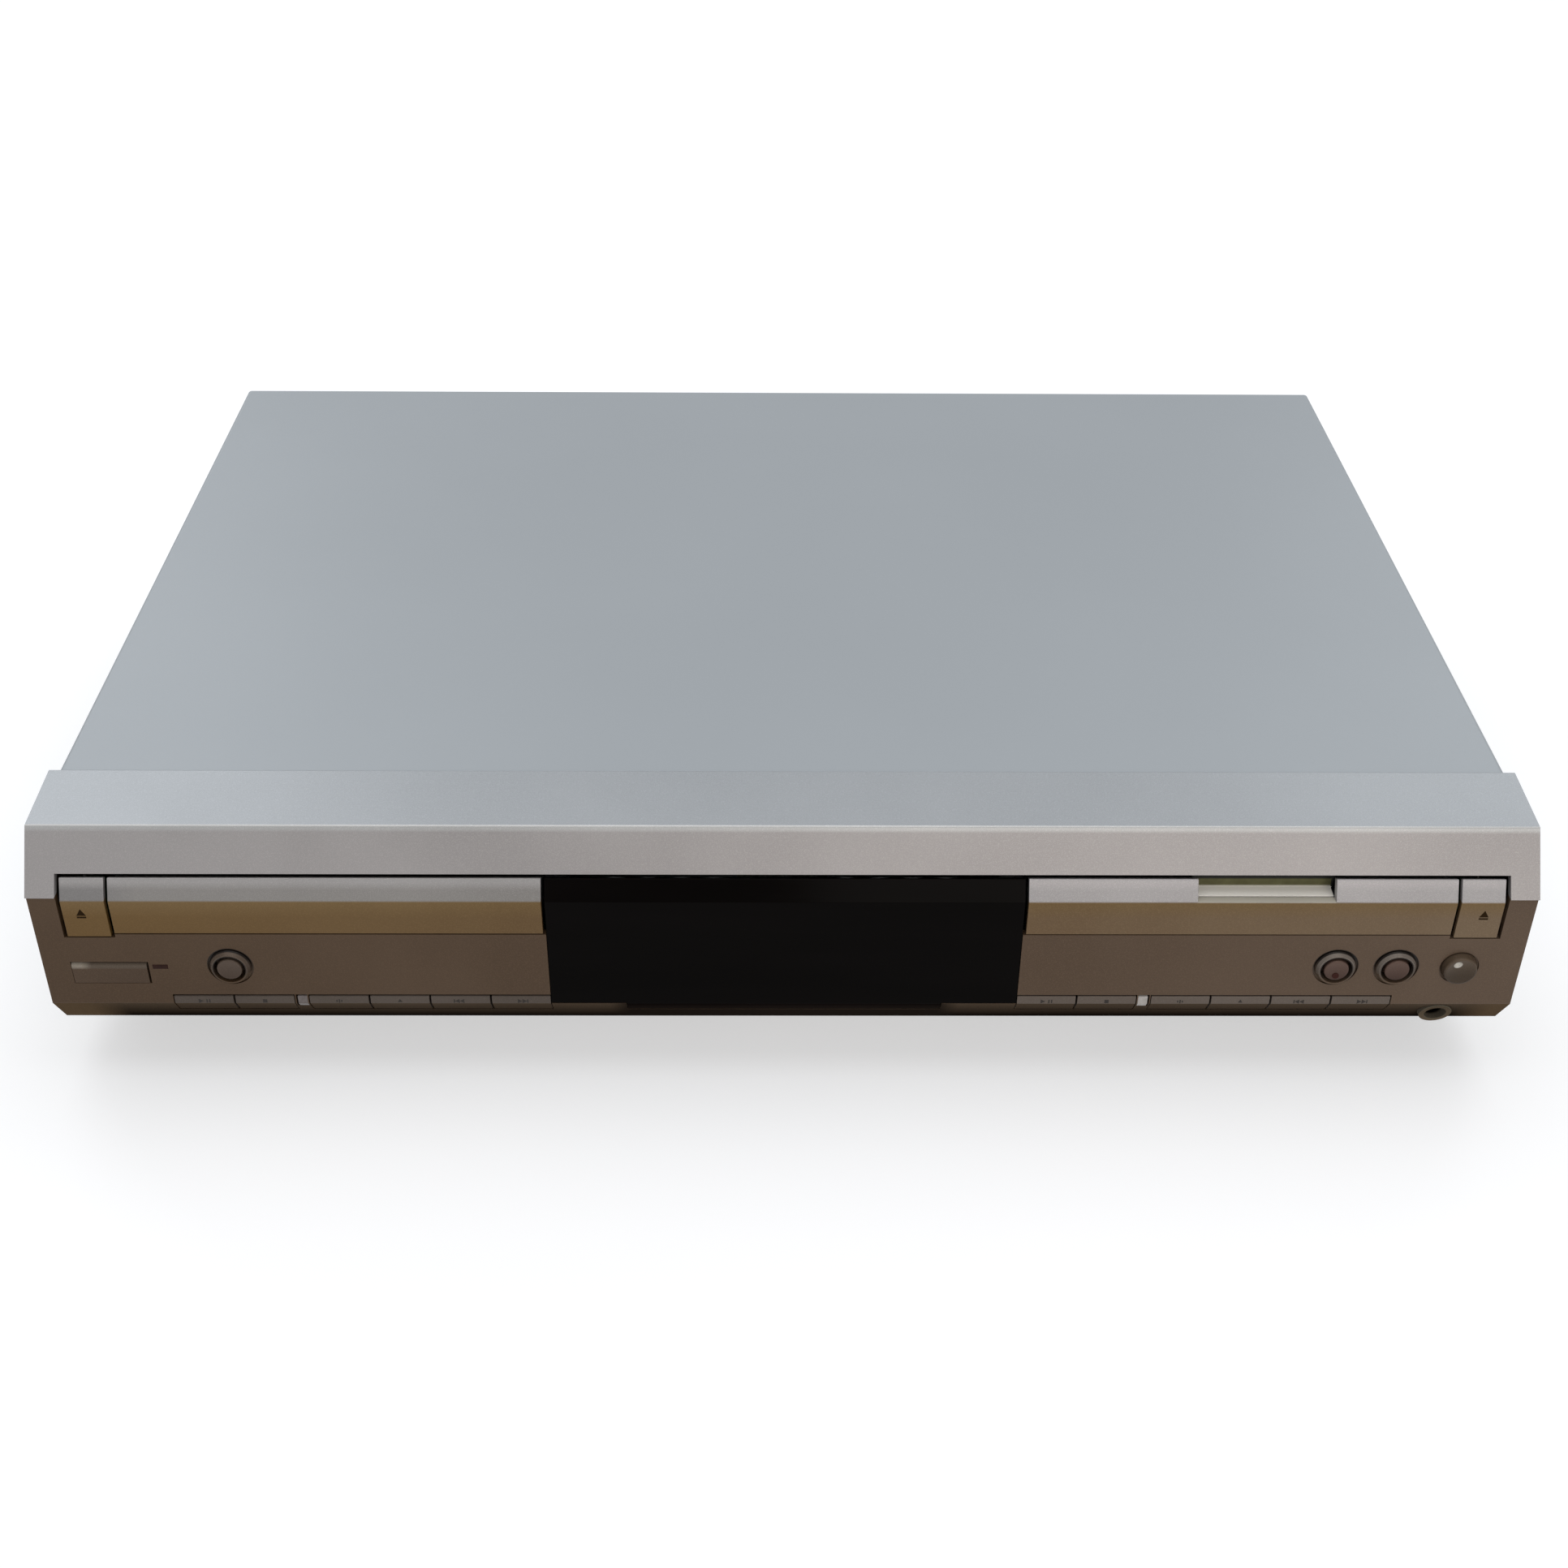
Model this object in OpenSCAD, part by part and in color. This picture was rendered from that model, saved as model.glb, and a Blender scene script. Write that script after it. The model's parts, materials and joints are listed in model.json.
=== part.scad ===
// Twin-deck CD recorder: sheet-metal case, moulded front, two disc loaders and their controls.
// Millimetres. X is across the front, Y runs from front to back, Z is up, and the feet stand on Z = 0.
// Depths are counted from the front crease, the edge where the leaning fascia meets the upright panel.

/* [Case] */
// Width of the moulded front
body_w = 435; // [425:1:450]
// Depth from the front crease to the back edge of the cover
body_d = 310; // [300:1:340]
// Height with the feet
body_h = 88; // [86:0.5:96]
// Step from the front's side to the cover's side
cover_set = 2.5; // [1.5:0.1:4]
// Thickness of the cover's sheet
sheet = 0.8; // [0.6:0.1:1.2]
// Thickness of the base pan and the rear panel
plate = 1; // [0.8:0.1:1.5]
// Height of the feet
foot_h = 14; // [12:0.5:15]
// Radius of the feet
foot_r = 19; // [14:1:22]

/* [Front profile] */
// Depth of the front mouldings, from the crease to the cover
visor_d = 38; // [37:0.5:42]
// Fall of the visor's top face towards the front
visor_fall = 1.6; // [0.5:0.1:3]
// Height of the leaning fascia
fascia_h = 17.3; // [16:0.1:19]
// How far the fascia leans forward over its height
fascia_lean = 12.1; // [8:0.1:14]
// Height of the upright panel below the crease
panel_h = 39.6; // [38:0.1:41]
// Height of the chin, which slopes back under the panel
chin_h = 11.6; // [10.5:0.1:13]
// How far the chin slopes back
chin_d = 7.6; // [5:0.1:9]
// Wall of the front mouldings
wall = 2.5; // [2:0.1:3]
// Step back from the crease to the upright panel
panel_set = 0.5; // [0.3:0.1:0.8]

/* [Doors and window] */
// Width of the visor's legs, outside the door recess
leg_w = 8.5; // [6:0.1:10]
// Width of an eject key
eject_w = 12.7; // [11:0.1:15]
// Gap between neighbouring front pieces
seam = 1.05; // [0.5:0.05:1.2]
// Height of the recess above the crease
recess_rise = 5.8; // [5:0.1:6.5]
// Height of the doors below the crease
door_drop = 13.1; // [12:0.1:14]
// Height of the eject keys below the crease
eject_drop = 14.3; // [12.5:0.1:15]
// Wall of the doors, the window and the eject keys
door_t = 2.4; // [2:0.1:2.8]
// Width of the record window in the recorder's door
notch_w = 40; // [30:1:50]
// Distance from the middle of the recorder's door to the record window
notch_shift = 6.8; // [-8:0.1:10]
// Depth of the record window's pocket
notch_d = 8; // [6:0.5:9]

/* [Controls] */
// Width of one key in the rows
key_w = 18; // [15:0.5:18.5]
// Gap between two keys
key_gap = 0.5; // [0.4:0.1:0.8]
// Width of the indicator between the second and third keys
lens_w = 4; // [3:0.5:6]
// Height of a key above the panel's lower corner
key_rise = 2.8; // [2.5:0.1:3.5]
// Height of a key below the panel's lower corner
key_fall = 5; // [4:0.1:6]
// Travel of the keys and buttons
press = 0.8; // [0.5:0.1:1]
// Radius of a round button
button_r = 3.7; // [3.5:0.1:4]
// Gap between a round button and its collar
button_gap = 1; // [0.6:0.1:1.2]
// Width of the cone-shaped collar round a button
collar_w = 1.4; // [1.2:0.1:2]
// How far a collar stands out of the panel
collar_proud = 1.5; // [1:0.1:1.6]
// How far a round button stands out of the panel
button_proud = 1.7; // [1.6:0.1:1.9]
// Distance from the level knob's middle to the outer edge of the door recess
knob_inset = 9.9; // [9:0.1:12]
// Distance between the two round buttons on the right
button_pitch = 17.9; // [17:0.1:18.5]
// Distance from the right button to the level knob
knob_pitch = 18.7; // [17:0.1:19]
// Depth of the buttons' middle below the crease
button_drop = 25.5; // [24:0.1:26.5]
// Radius of the level knob
knob_r = 5.4; // [5:0.1:6]
// How far the level knob stands out of the panel
knob_proud = 2; // [1.9:0.1:3]
// Length of the standby key
standby_w = 22; // [18:0.5:24]
// Height of the standby key
standby_h = 7.5; // [6:0.1:9]
// Radius of the headphone socket's hole
phones_r = 3.2; // [2.8:0.1:3.3]
// Radius of the headphone socket's nose
phones_nose_r = 4.8; // [4.5:0.1:5.5]

/* [Decks] */
// Diameter of a disc
disc_d = 120; // [118:0.5:122]
// Rim of the tray beside the disc well
rim = 1.5; // [1.2:0.1:2]
// Depth of the disc well
well = 2.5; // [2:0.1:3]
// Thickness of the tray's floor
tray_floor = 2.6; // [2.2:0.1:3]
// Travel of the trays
tray_travel = 136; // [120:1:140]
// Distance from the crease to the middle of a stored disc
disc_y = 78; // [74:0.5:82]
// Travel of the pickup sleds
sled_travel = 36; // [30:1:38]
// Tooth module of the loading gears
tooth = 1; // [0.9:0.05:1.05]
// Teeth of a loading gear
gear_n = 30; // [28:2:30]
// Teeth of a loading pinion
pinion_n = 12; // [11:1:13]

/* [Rear] */
// Radius of a phono socket's sleeve
phono_r = 4.15; // [3.9:0.05:4.4]
// Length of a phono socket's sleeve behind the rear panel
phono_len = 9; // [8:0.5:10]
// Distance between two columns of phono sockets
phono_pitch = 22; // [16:1:26]

/* [Hidden] */
$fn = 48;
slip = 0.3;
fit = 0.06;
eps = 0.01;

// Heights of the front
crease_z = body_h - visor_fall - fascia_h;
corner_z = crease_z - panel_h;
chin_z = corner_z - chin_h;
recess_z = crease_z + recess_rise;
door_top_gap = 1.1;
door_bend_drop = 1.5;
door_set = 0.6;
door_top_z = recess_z - door_top_gap;
door_crease_z = crease_z - door_bend_drop;
door_low_z = crease_z - door_drop;
eject_low_z = crease_z - eject_drop;
key_top_z = corner_z + key_rise;
key_low_z = corner_z - key_fall;
button_z = crease_z - button_drop;
standby_drop = 2.55;
standby_lens_drop = 0.1;
phones_drop = 5.6;
standby_z = button_z - standby_drop;
standby_lens_z = button_z - standby_lens_drop;
phones_z = corner_z - phones_drop;
lip_low_z = corner_z - key_fall;

// Places across the front
panel_inset = 0.3;
panel_w = body_w - 2 * panel_inset;
recess_half = body_w / 2 - leg_w;
tray_w = disc_d + 2 * rim;
tray_side = 0.5;
door_w = tray_w + 2 * tray_side;
eject_x = recess_half - seam - eject_w / 2;
deck_x = recess_half - 2 * seam - eject_w - door_w / 2;
window_half = deck_x - door_w / 2 - seam;
row_w = 6 * key_w + lens_w;
knob_x = recess_half - knob_inset;
copy_x = knob_x - knob_pitch;
button_x = copy_x - button_pitch;
phones_shift = 2.8;
phones_x = knob_x - phones_shift;
standby_x = recess_half;
standby_gap = 0.6;
standby_lens_gap = 1.7;
standby_lens_x = standby_x - standby_w - standby_lens_gap;
standby_lens_w = 4.5;
standby_lens_h = 1.6;
lip_inset = 22.4;
lip_half = window_half - lip_inset;

// The origin lies under the middle of the whole depth, sockets and knob counted
front_proud = knob_proud - panel_set;
rear_proud = phono_len - sheet;
crease_y = (front_proud - rear_proud - body_d) / 2;

// Sheet-metal case
cover_w = body_w - 2 * cover_set;
cover_drop = 0.6;
cover_z = body_h - cover_drop;
cover_low = foot_h;
floor_z = foot_h + plate;
pan_half = cover_w / 2 - sheet - slip;
pan_step = 2;
pan_front = visor_d - pan_step;
rear_d = body_d - sheet - plate;
side_flange_h = 16;
front_flange_h = 16;
cover_gap = 0.4;
rear_lip = 9;
tongue_inset = 15;
tongue_half = cover_w / 2 - tongue_inset;
foot_inset = 36;
foot_margin = 12;
foot_depths = [pan_front + foot_r + foot_margin, rear_d - foot_r - foot_margin];

// Front board and the switches on it
inner_d = panel_set + wall;
board_gap = 10;
board_d = inner_d + board_gap;
board_t = 1.6;
board_inset = 5;
board_half = recess_half - board_inset;
board_lift = 1;
board_low = chin_z + wall + board_lift;
board_margin = 6;
board_top = button_z + board_margin;
switch_h = 4.8;
stem_end = board_d - switch_h - press - slip;
key_switch_drop = 1.6;
eject_stem_shift = 2;
eject_stem_drop = 8;
eject_stem_x = eject_x + eject_stem_shift;
eject_stem_z = crease_z - eject_stem_drop;
standby_stem_inset = 4;
standby_stem_x = -standby_x + standby_w - standby_stem_inset;
post_r = 2.5;
post_inset = 7;
hole_r = button_r + button_gap;
collar_r = hole_r + collar_w;
post_xs = [window_half + post_inset, button_x - collar_r - post_inset];
post_z = button_z - board_margin;
flange_gap = 0.2;
flange_d = inner_d + flange_gap;
flange_t = 1;

// Disc loaders
rim_drop = 2;
disc_lift = 0.6;
rim_z = crease_z - rim_drop;
well_z = rim_z - well;
tray_low = well_z - tray_floor;
disc_z = well_z + disc_lift;
small_disc_d = 80;
small_well = 1;
well_gap = 0.6;
tray_front = panel_set + door_t;
slot_half = 19;
rack_h = 4.5;
rack_t = 3.4;
rack_tip = tooth * 0.8;
rack_root = tooth * 1.15;
gear_r = gear_n * tooth / 2;
pinion_r = pinion_n * tooth / 2;
gear_inset = 0.5;
gear_t = rack_h - gear_inset;
gear_low = tray_low - rack_h - slip / 3;
gear_d = 36;
rack_inset = 7;
rack_u = tray_w / 2 - rack_inset;
gear_u = rack_u - gear_r;
pinion_u = gear_u - gear_r - pinion_r;
gear_float = 0.2;
deck_floor_z = gear_low - gear_float;
deck_floor_t = 2.2;
tray_spare = 10;
tray_back = gear_d + tray_travel + tray_spare;
frame_gap = 1.8;
frame_front = board_d + board_t + frame_gap;
frame_spare = 8;
frame_back = tray_back + frame_spare;
bridge_rise = 3.5;
frame_top = rim_z + bridge_rise;
frame_depth = 18;
frame_low = tray_low - frame_depth;
tray_gap = 0.4;
channel_t = 2.5;
frame_in = tray_w / 2 + tray_gap;
frame_out = frame_in + channel_t;
leg_size = 9;
leg_margin = 4.5;
leg_depths = [pan_front + leg_margin, frame_back - leg_size - leg_margin];

// Traverse: the plate that carries the spindle and the pickup
damper_h = 4;
lug_t = 2;
traverse_z = frame_low + lug_t + damper_h;
traverse_t = 2;
traverse_top = traverse_z + traverse_t;
traverse_half = 41;
bridge_half = 18;
traverse_front = disc_y - bridge_half;
sled_start = 11;
sled_home = disc_y + sled_start;
sled_len = 30;
rod_u = 26;
rod_r = 1.5;
rod_lift = 4.8;
rod_z = traverse_top + rod_lift;
rod_post_t = 3;
rod_spare = 2;
rod_front = sled_home - rod_post_t - rod_spare / 4;
rod_back = sled_home + sled_len + sled_travel + rod_spare;
sled_gap = 1;
sled_top = tray_low - sled_gap;
screw_u = 36;
sled_motor_len = 14;
traverse_margin = 2;
traverse_back = rod_back + rod_post_t + sled_motor_len + traverse_margin;
lug_len = 8;
lug_inset = 4;
lug_depths = [traverse_front + lug_inset, traverse_back - lug_len - lug_inset];
damper_r = 4;
damper_u = traverse_half - damper_r - 1;
platter_r = 15.5;
platter_t = 2.5;
hub_r = 7.4;
hub_h = 2;
puck_r = 15;
puck_t = 2;
puck_gap = 2.8;
puck_z = disc_z + puck_gap;
bridge_t = 1.6;

// Rear sockets and boards
standoff_h = 9;
standoff_r = 3;
board_z = floor_z + standoff_h;
rear_board_gap = 8;
rear_board_d = frame_back + rear_board_gap;
rear_board_margin = 10;
main_board_x = -45;
power_board_x = -65;
board_top_z = board_z + board_t;
board_post_margin = 10;
phono_x = 40;
phono_low = 9.5;
phono_gap = 14;
phono_rows = [phono_low, phono_low + phono_gap];
phono_body = 12;
phono_body_d = 14;
optical_gap = 6;
optical_pitch = 16;
optical_w = 10;
optical_x = phono_x + 3 * phono_pitch + optical_gap;
inlet_inset = 35;
inlet_rise = 25;
inlet_x = -(cover_w / 2 - inlet_inset);
inlet_z = floor_z + inlet_rise;
rear_screw_pitch = 150;
rear_screw_xs = [-rear_screw_pitch, 0, rear_screw_pitch];
rear_screw_drop = 5;
rear_screw_z = cover_z - rear_screw_drop;
side_screw_front = 90;
side_screw_back = 40;
side_screw_rise = 8;
side_screw_depths = [side_screw_front, body_d - side_screw_back];
side_screw_z = floor_z + side_screw_rise;
screw_grip = 5;
leg_screw_grip = 7;

// Plane geometry

function unit(v) = v / norm(v);
function left_of(v) = [-v[1], v[0]];

// Points of a round of radius r that replaces corner b between a and c
function corner(a, b, c, r) =
  let (
    u = unit(a - b),
    v = unit(c - b),
    half = acos(u * v) / 2,
    from = b + u * r / tan(half),
    to = b + v * r / tan(half),
    mid = b + unit(u + v) * r / sin(half),
    start = atan2(from[1] - mid[1], from[0] - mid[0]),
    stop = atan2(to[1] - mid[1], to[0] - mid[0]),
    sweep = (stop - start + 540) % 360 - 180,
    steps = 5
  )
  r == 0 ? [b]
  : [for (i = [0:steps]) let (turn = start + sweep * i / steps) mid + r * [cos(turn), sin(turn)]];

// A closed outline with each corner rounded by its own radius
function rounded(p, radii) =
  let (n = len(p))
  [for (i = [0:n - 1]) each corner(p[(i + n - 1) % n], p[i], p[(i + 1) % n], radii[i])];

// The offset of point i of an open line to its left, with mitred corners
function mitre(p, i) =
  let (
    last = len(p) - 1,
    before = left_of(unit(p[i] - p[max(i - 1, 0)] + (i == 0 ? p[1] - p[0] : [0, 0]))),
    after = left_of(unit(p[min(i + 1, last)] - p[i] + (i == last ? p[last] - p[last - 1] : [0, 0])))
  )
  (before + after) / (1 + before * after);

// An open line made t thick on its left side, as a closed outline
function thick(p, t) = concat(p, [for (i = [len(p) - 1:-1:0]) p[i] + t * mitre(p, i)]);

// Depth of the fascia's and the chin's planes at height z
function fascia_at(z) = fascia_lean * (z - crease_z) / fascia_h;
function chin_at(z) = panel_set + chin_d * (corner_z - z) / chin_h;

// Half the angle that an involute tooth of an n-tooth gear spans at radius r
tooth_share = 0.88;
function involute(a) = tan(a) * 180 / PI - a;
function tooth_half(n, r) =
  let (base = n * tooth / 2 * cos(20))
  90 / n * tooth_share + involute(20) - (r > base ? involute(acos(base / r)) : 0);

// Outline of a gear with n teeth, with the middle of a tooth at angle turn
function gear_outline(n, turn) =
  let (pitch = n * tooth / 2, tip = pitch + rack_tip, root = pitch - rack_root, steps = 3)
  [for (i = [0:n - 1]) let (a = turn + 360 * i / n) each concat(
    [for (k = [0:steps]) let (r = root + (tip - root) * k / steps) r * cis(a - tooth_half(n, r))],
    [for (k = [steps:-1:0]) let (r = root + (tip - root) * k / steps) r * cis(a + tooth_half(n, r))]
  )];
function cis(a) = [cos(a), sin(a)];

// Placing

module from_front() translate([0, crease_y, 0]) children();
module in_deck(side) from_front() translate([side * deck_x, 0, 0]) children();

// Extrudes an outline of (depth, height) points along X, centred on x
module along_x(width, x = 0)
  translate([x, 0, 0]) rotate([90, 0, 90]) linear_extrude(width, center = true) children();

// A box from its two corners
module span(low, high) translate(low) cube(high - low);

// A cylinder along +Y whose front end is at depth d
module rod_y(r, x, d, z, length) translate([x, d, z]) rotate([-90, 0, 0]) cylinder(r = r, h = length);

// A solid turned about the Y axis, drawn as (radius, depth)
module turned_y(x, z) translate([x, 0, z]) rotate([-90, 0, 0]) rotate_extrude() children();

// Case

module top_cover() {
  half = cover_w / 2;
  fold = 1.6;
  front = visor_d + cover_gap;
  outer = rounded(
    [[-half, cover_low], [-half, cover_z], [half, cover_z], [half, cover_low]], [0, fold, fold, 0]
  );
  inner = rounded(
    [[-half + sheet, cover_low - 1], [-half + sheet, cover_z - sheet],
     [half - sheet, cover_z - sheet], [half - sheet, cover_low - 1]],
    [0, fold - sheet, fold - sheet, 0]
  );
  tongue_len = 8;
  visor_slope = visor_fall / (visor_d - fascia_lean);
  tongue_z = body_h - wall - slip / 2 - sheet - visor_slope * tongue_len;
  color("#a4acb0") from_front() difference() {
    union() {
      translate([0, body_d, 0]) rotate([90, 0, 0]) linear_extrude(body_d - front) difference() {
        polygon(outer);
        polygon(inner);
      }
      span([-half + fold, body_d - sheet, cover_z - rear_lip], [half - fold, body_d, cover_z - sheet / 2]);
      span([-tongue_half, front, tongue_z], [tongue_half, front + sheet, cover_z - sheet / 2]);
      span([-tongue_half, front - tongue_len, tongue_z], [tongue_half, front + sheet, tongue_z + sheet]);
    }
    for (d = side_screw_depths)
      translate([-half - 1, d, side_screw_z]) rotate([0, 90, 0]) cylinder(r = screw_hole, h = cover_w + 2);
    for (x = rear_screw_xs) rod_y(screw_hole, x, body_d - 2 * sheet, rear_screw_z, 3 * sheet);
  }
}

vent_w = 4;
vent_len = 28;
vent_reach = 60;
vent_pitch = 12;
vent_depths = [90, 130];
module base_pan() {
  color("#b9bcbd") from_front() difference() {
    union() {
      span([-pan_half, pan_front, foot_h], [pan_half, rear_d, floor_z]);
      for (s = [-1, 1]) translate([s * (pan_half - plate / 2), 0, 0])
        span([-plate / 2, pan_front, foot_h], [plate / 2, rear_d, floor_z + side_flange_h]);
      span([-pan_half, pan_front, foot_h], [pan_half, pan_front + plate, floor_z + front_flange_h]);
      for (p = board_posts) translate([p[0], p[1], foot_h]) cylinder(r = standoff_r, h = board_z - foot_h);
    }
    for (d = side_screw_depths)
      translate([-pan_half - 1, d, side_screw_z]) rotate([0, 90, 0])
        cylinder(r = screw_hole, h = 2 * pan_half + 2);
    for (p = leg_screws) translate([p[0], p[1], foot_h - 1]) cylinder(r = screw_hole, h = plate + 2);
    for (x = [-vent_reach:vent_pitch:vent_reach], d = vent_depths)
      span([x - vent_w / 2, d, foot_h - 1], [x + vent_w / 2, d + vent_len, floor_z + 1]);
  }
}

board_reach = cover_w / 2 - rear_board_margin;
board_posts = [
  for (
    x = [
      board_post_margin - board_reach, power_board_x - board_post_margin,
      main_board_x + board_post_margin, board_reach - board_post_margin
    ],
    d = [rear_board_d + board_post_margin, rear_d - board_post_margin]
  ) [x, d]
];
leg_screws = [
  for (s = [-1, 1], u = [-1, 1], d = leg_depths)
    [s * deck_x + u * (frame_out - leg_size / 2), d + leg_size / 2]
];

rear_vents = 6;
rear_vent_x = -30;
rear_vent_w = 3;
rear_vent_h = 16;
rear_vent_pitch = 8;
rear_vent_zs = [30, 52];
module rear_panel() {
  color("#8f9698") from_front() difference() {
    span([-pan_half, rear_d, foot_h], [pan_half, rear_d + plate, cover_z - sheet - slip]);
    for (i = [0:2], z = phono_rows)
      rod_y(phono_flange_r + slip, phono_x + i * phono_pitch, rear_d - 1, board_top_z + z, plate + 2);
    for (i = [0:1]) translate([optical_x + i * optical_pitch, 0, board_top_z]) span(
      [-optical_w / 2 - slip, rear_d - 1, -slip],
      [optical_w / 2 + slip, rear_d + plate + 1, optical_w + slip]
    );
    span(
      [inlet_x - inlet_w / 2 - slip, rear_d - 1, inlet_z - inlet_h / 2 - slip],
      [inlet_x + inlet_w / 2 + slip, rear_d + plate + 1, inlet_z + inlet_h / 2 + slip]
    );
    for (x = rear_screw_xs) rod_y(screw_hole, x, rear_d - 1, rear_screw_z, plate + 2);
    for (i = [0:rear_vents - 1], z = rear_vent_zs) translate([rear_vent_x + i * rear_vent_pitch, 0, z])
      span([0, rear_d - 1, 0], [rear_vent_w, rear_d + plate + 1, rear_vent_h]);
  }
}

foot_taper = 1;
foot_step = 2;
foot_pad_r = foot_r - 2 * foot_step;
module feet() {
  color("#2b2b2d") from_front() for (s = [-1, 1], d = foot_depths)
    translate([s * (cover_w / 2 - foot_inset), d, 0]) rotate_extrude() polygon(rounded(
      [[0, 0], [foot_pad_r, 0], [foot_pad_r + foot_taper, foot_step], [foot_r - foot_taper, foot_step],
       [foot_r, foot_h], [0, foot_h]],
      [0, 0.6, 0, 0.8, 0, 0]
    ));
}

// Screws: a rounded head with a cross, standing on z = 0 and pointing down into the work
screw_r = 1.4;
screw_hole = 1.55;
screw_head_r = 2.9;
screw_head_h = 1.7;
cross_half = 1.5;
cross_t = 0.3;
cross_floor = 0.8;
module screw(length) {
  difference() {
    union() {
      rotate_extrude() polygon(rounded(
        [[0, 0], [screw_head_r, 0], [screw_head_r, screw_head_h], [0, screw_head_h]], [0, 0, 0.9, 0]
      ));
      translate([0, 0, -length]) cylinder(r = screw_r, h = length + eps);
    }
    for (a = [0, 90]) rotate([0, 0, a])
      span([-cross_half, -cross_t, cross_floor], [cross_half, cross_t, 2 * screw_head_h]);
  }
}

module screws() {
  color("#c8c8c8") from_front() {
    for (s = [-1, 1], d = side_screw_depths)
      translate([s * cover_w / 2, d, side_screw_z]) rotate([0, s * 90, 0]) screw(screw_grip);
    for (x = rear_screw_xs) translate([x, body_d, rear_screw_z]) rotate([-90, 0, 0]) screw(screw_grip);
    for (p = leg_screws) translate([p[0], p[1], foot_h]) rotate([180, 0, 0]) screw(leg_screw_grip);
  }
}

// Front mouldings

module visor() {
  tail = crease_z - wall;
  line = [[visor_d, body_h], [fascia_lean, crease_z + fascia_h], [fascia_at(tail), tail]];
  shell = thick(line, wall);
  cheek = concat(line, [[visor_d, tail]]);
  color("#b4b7ba") from_front() difference() {
    union() {
      along_x(body_w) polygon(rounded(shell, [0.7, 1, 0, 0, 0, 0]));
      for (s = [-1, 1]) along_x(wall, s * (body_w - wall) / 2) polygon(rounded(cheek, [0.7, 1, 0, 0]));
    }
    span([-body_w, -10, crease_z - 10], [body_w, visor_d + 1, crease_z]);
    span([-recess_half, -10, crease_z - 10], [recess_half, visor_d + 1, recess_z]);
  }
}

module front_panel() {
  line = [
    [panel_set, crease_z], [panel_set, corner_z], [panel_set + chin_d, chin_z], [pan_front, chin_z]
  ];
  cheek = concat([for (i = [0:2]) line[i]], [[visor_d, chin_z], [visor_d, crease_z]]);
  color("#6a5c4e") from_front() difference() {
    union() {
      along_x(panel_w) polygon(rounded(thick(line, wall), [0, 0.8, 0.8, 0, 0, 0, 0, 0]));
      for (s = [-1, 1]) along_x(wall, s * (panel_w - wall) / 2) polygon(rounded(cheek, [0, 0.8, 0.8, 0, 0]));
      for (x = [-button_x, button_x, copy_x]) collar(x);
      for (s = [-1, 1], x = post_xs) rod_y(post_r, s * x, inner_d - eps, post_z, board_d - inner_d + eps);
      standby_ears();
    }
    door_recess();
    key_slots();
    for (x = [-button_x, button_x, copy_x]) {
      rod_y(hole_r, x, -5, button_z, 10);
      collar_groove(x);
    }
    rod_y(knob_shaft_r + slip, knob_x, -5, button_z, 10);
    rod_y(knob_r + knob_ring, knob_x, -5, button_z, 5 + panel_set + knob_seat);
    standby_cut();
    rod_y(phones_nose_r + slip / 3, phones_x, -5, phones_z, 20);
    span(
      [phones_x - phones_body / 2 - slip, phones_d + phones_nose / 2, 0],
      [phones_x + phones_body / 2 + slip, pan_front + 1, phones_z]
    );
  }
}

// The raised cone round a button, and the groove at its foot
collar_rim = 0.5;
collar_round = 0.25;
groove_w = 0.5;
groove_d = 0.6;
module collar(x) {
  translate([0, panel_set, 0]) turned_y(x, button_z) polygon(rounded(
    [[hole_r - collar_rim, wall / 2], [collar_r, wall / 2], [collar_r, 0],
     [hole_r + collar_rim, -collar_proud], [hole_r - collar_rim, -collar_proud]],
    [0, 0, 0, collar_round, 0]
  ));
}
module collar_groove(x) {
  translate([0, panel_set, 0]) turned_y(x, button_z)
    translate([collar_r, -1]) square([groove_w, 1 + groove_d]);
}

// What the doors, the eject keys and the window leave open in the panel
module door_recess() {
  span([-recess_half, -5, door_low_z - slip], [recess_half, pan_front, crease_z + 5]);
  for (s = [-1, 1]) translate([s * eject_x, 0, 0]) span(
    [-eject_w / 2 - seam, -5, eject_low_z - slip], [eject_w / 2 + seam, pan_front, crease_z + 5]
  );
  span([-window_half - flange_gap, -5, corner_z], [window_half + flange_gap, inner_d + 5, crease_z + 5]);
  span([-lip_half - flange_gap, -5, lip_low_z - flange_gap], [lip_half + flange_gap, inner_d + 5, crease_z]);
}

// Each row has one slot on either side of its indicator, and a pocket for that
key_shade = 0.6;
module key_slots() {
  high = key_top_z + key_shade;
  for (start = row_starts) translate([start, 0, 0]) {
    span([0, -5, key_low_z - slip], [2 * key_w, board_d, high]);
    span([2 * key_w + lens_w, -5, key_low_z - slip], [row_w, board_d, high]);
    span([2 * key_w + slip, -5, lens_low_z], [2 * key_w + lens_w - slip, board_d, high]);
  }
}
row_starts = [-window_half - row_w, window_half];
lens_drop = 1.8;
lens_low_z = corner_z - lens_drop;

// Cut for the hinged standby key and its indicator, with a wider gap above and at the free end
standby_seam = 0.12;
standby_shade = 0.5;
module standby_cut() {
  span(
    [-standby_x - standby_seam, -5, standby_z - standby_h / 2 - standby_seam],
    [-standby_x + standby_w + standby_gap, inner_d + 0.1, standby_z + standby_h / 2 + standby_shade]
  );
  span(
    [-standby_lens_x, -5, standby_lens_z - standby_lens_h / 2],
    [-standby_lens_x + standby_lens_w, inner_d + 5, standby_lens_z + standby_lens_h / 2]
  );
}

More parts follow.
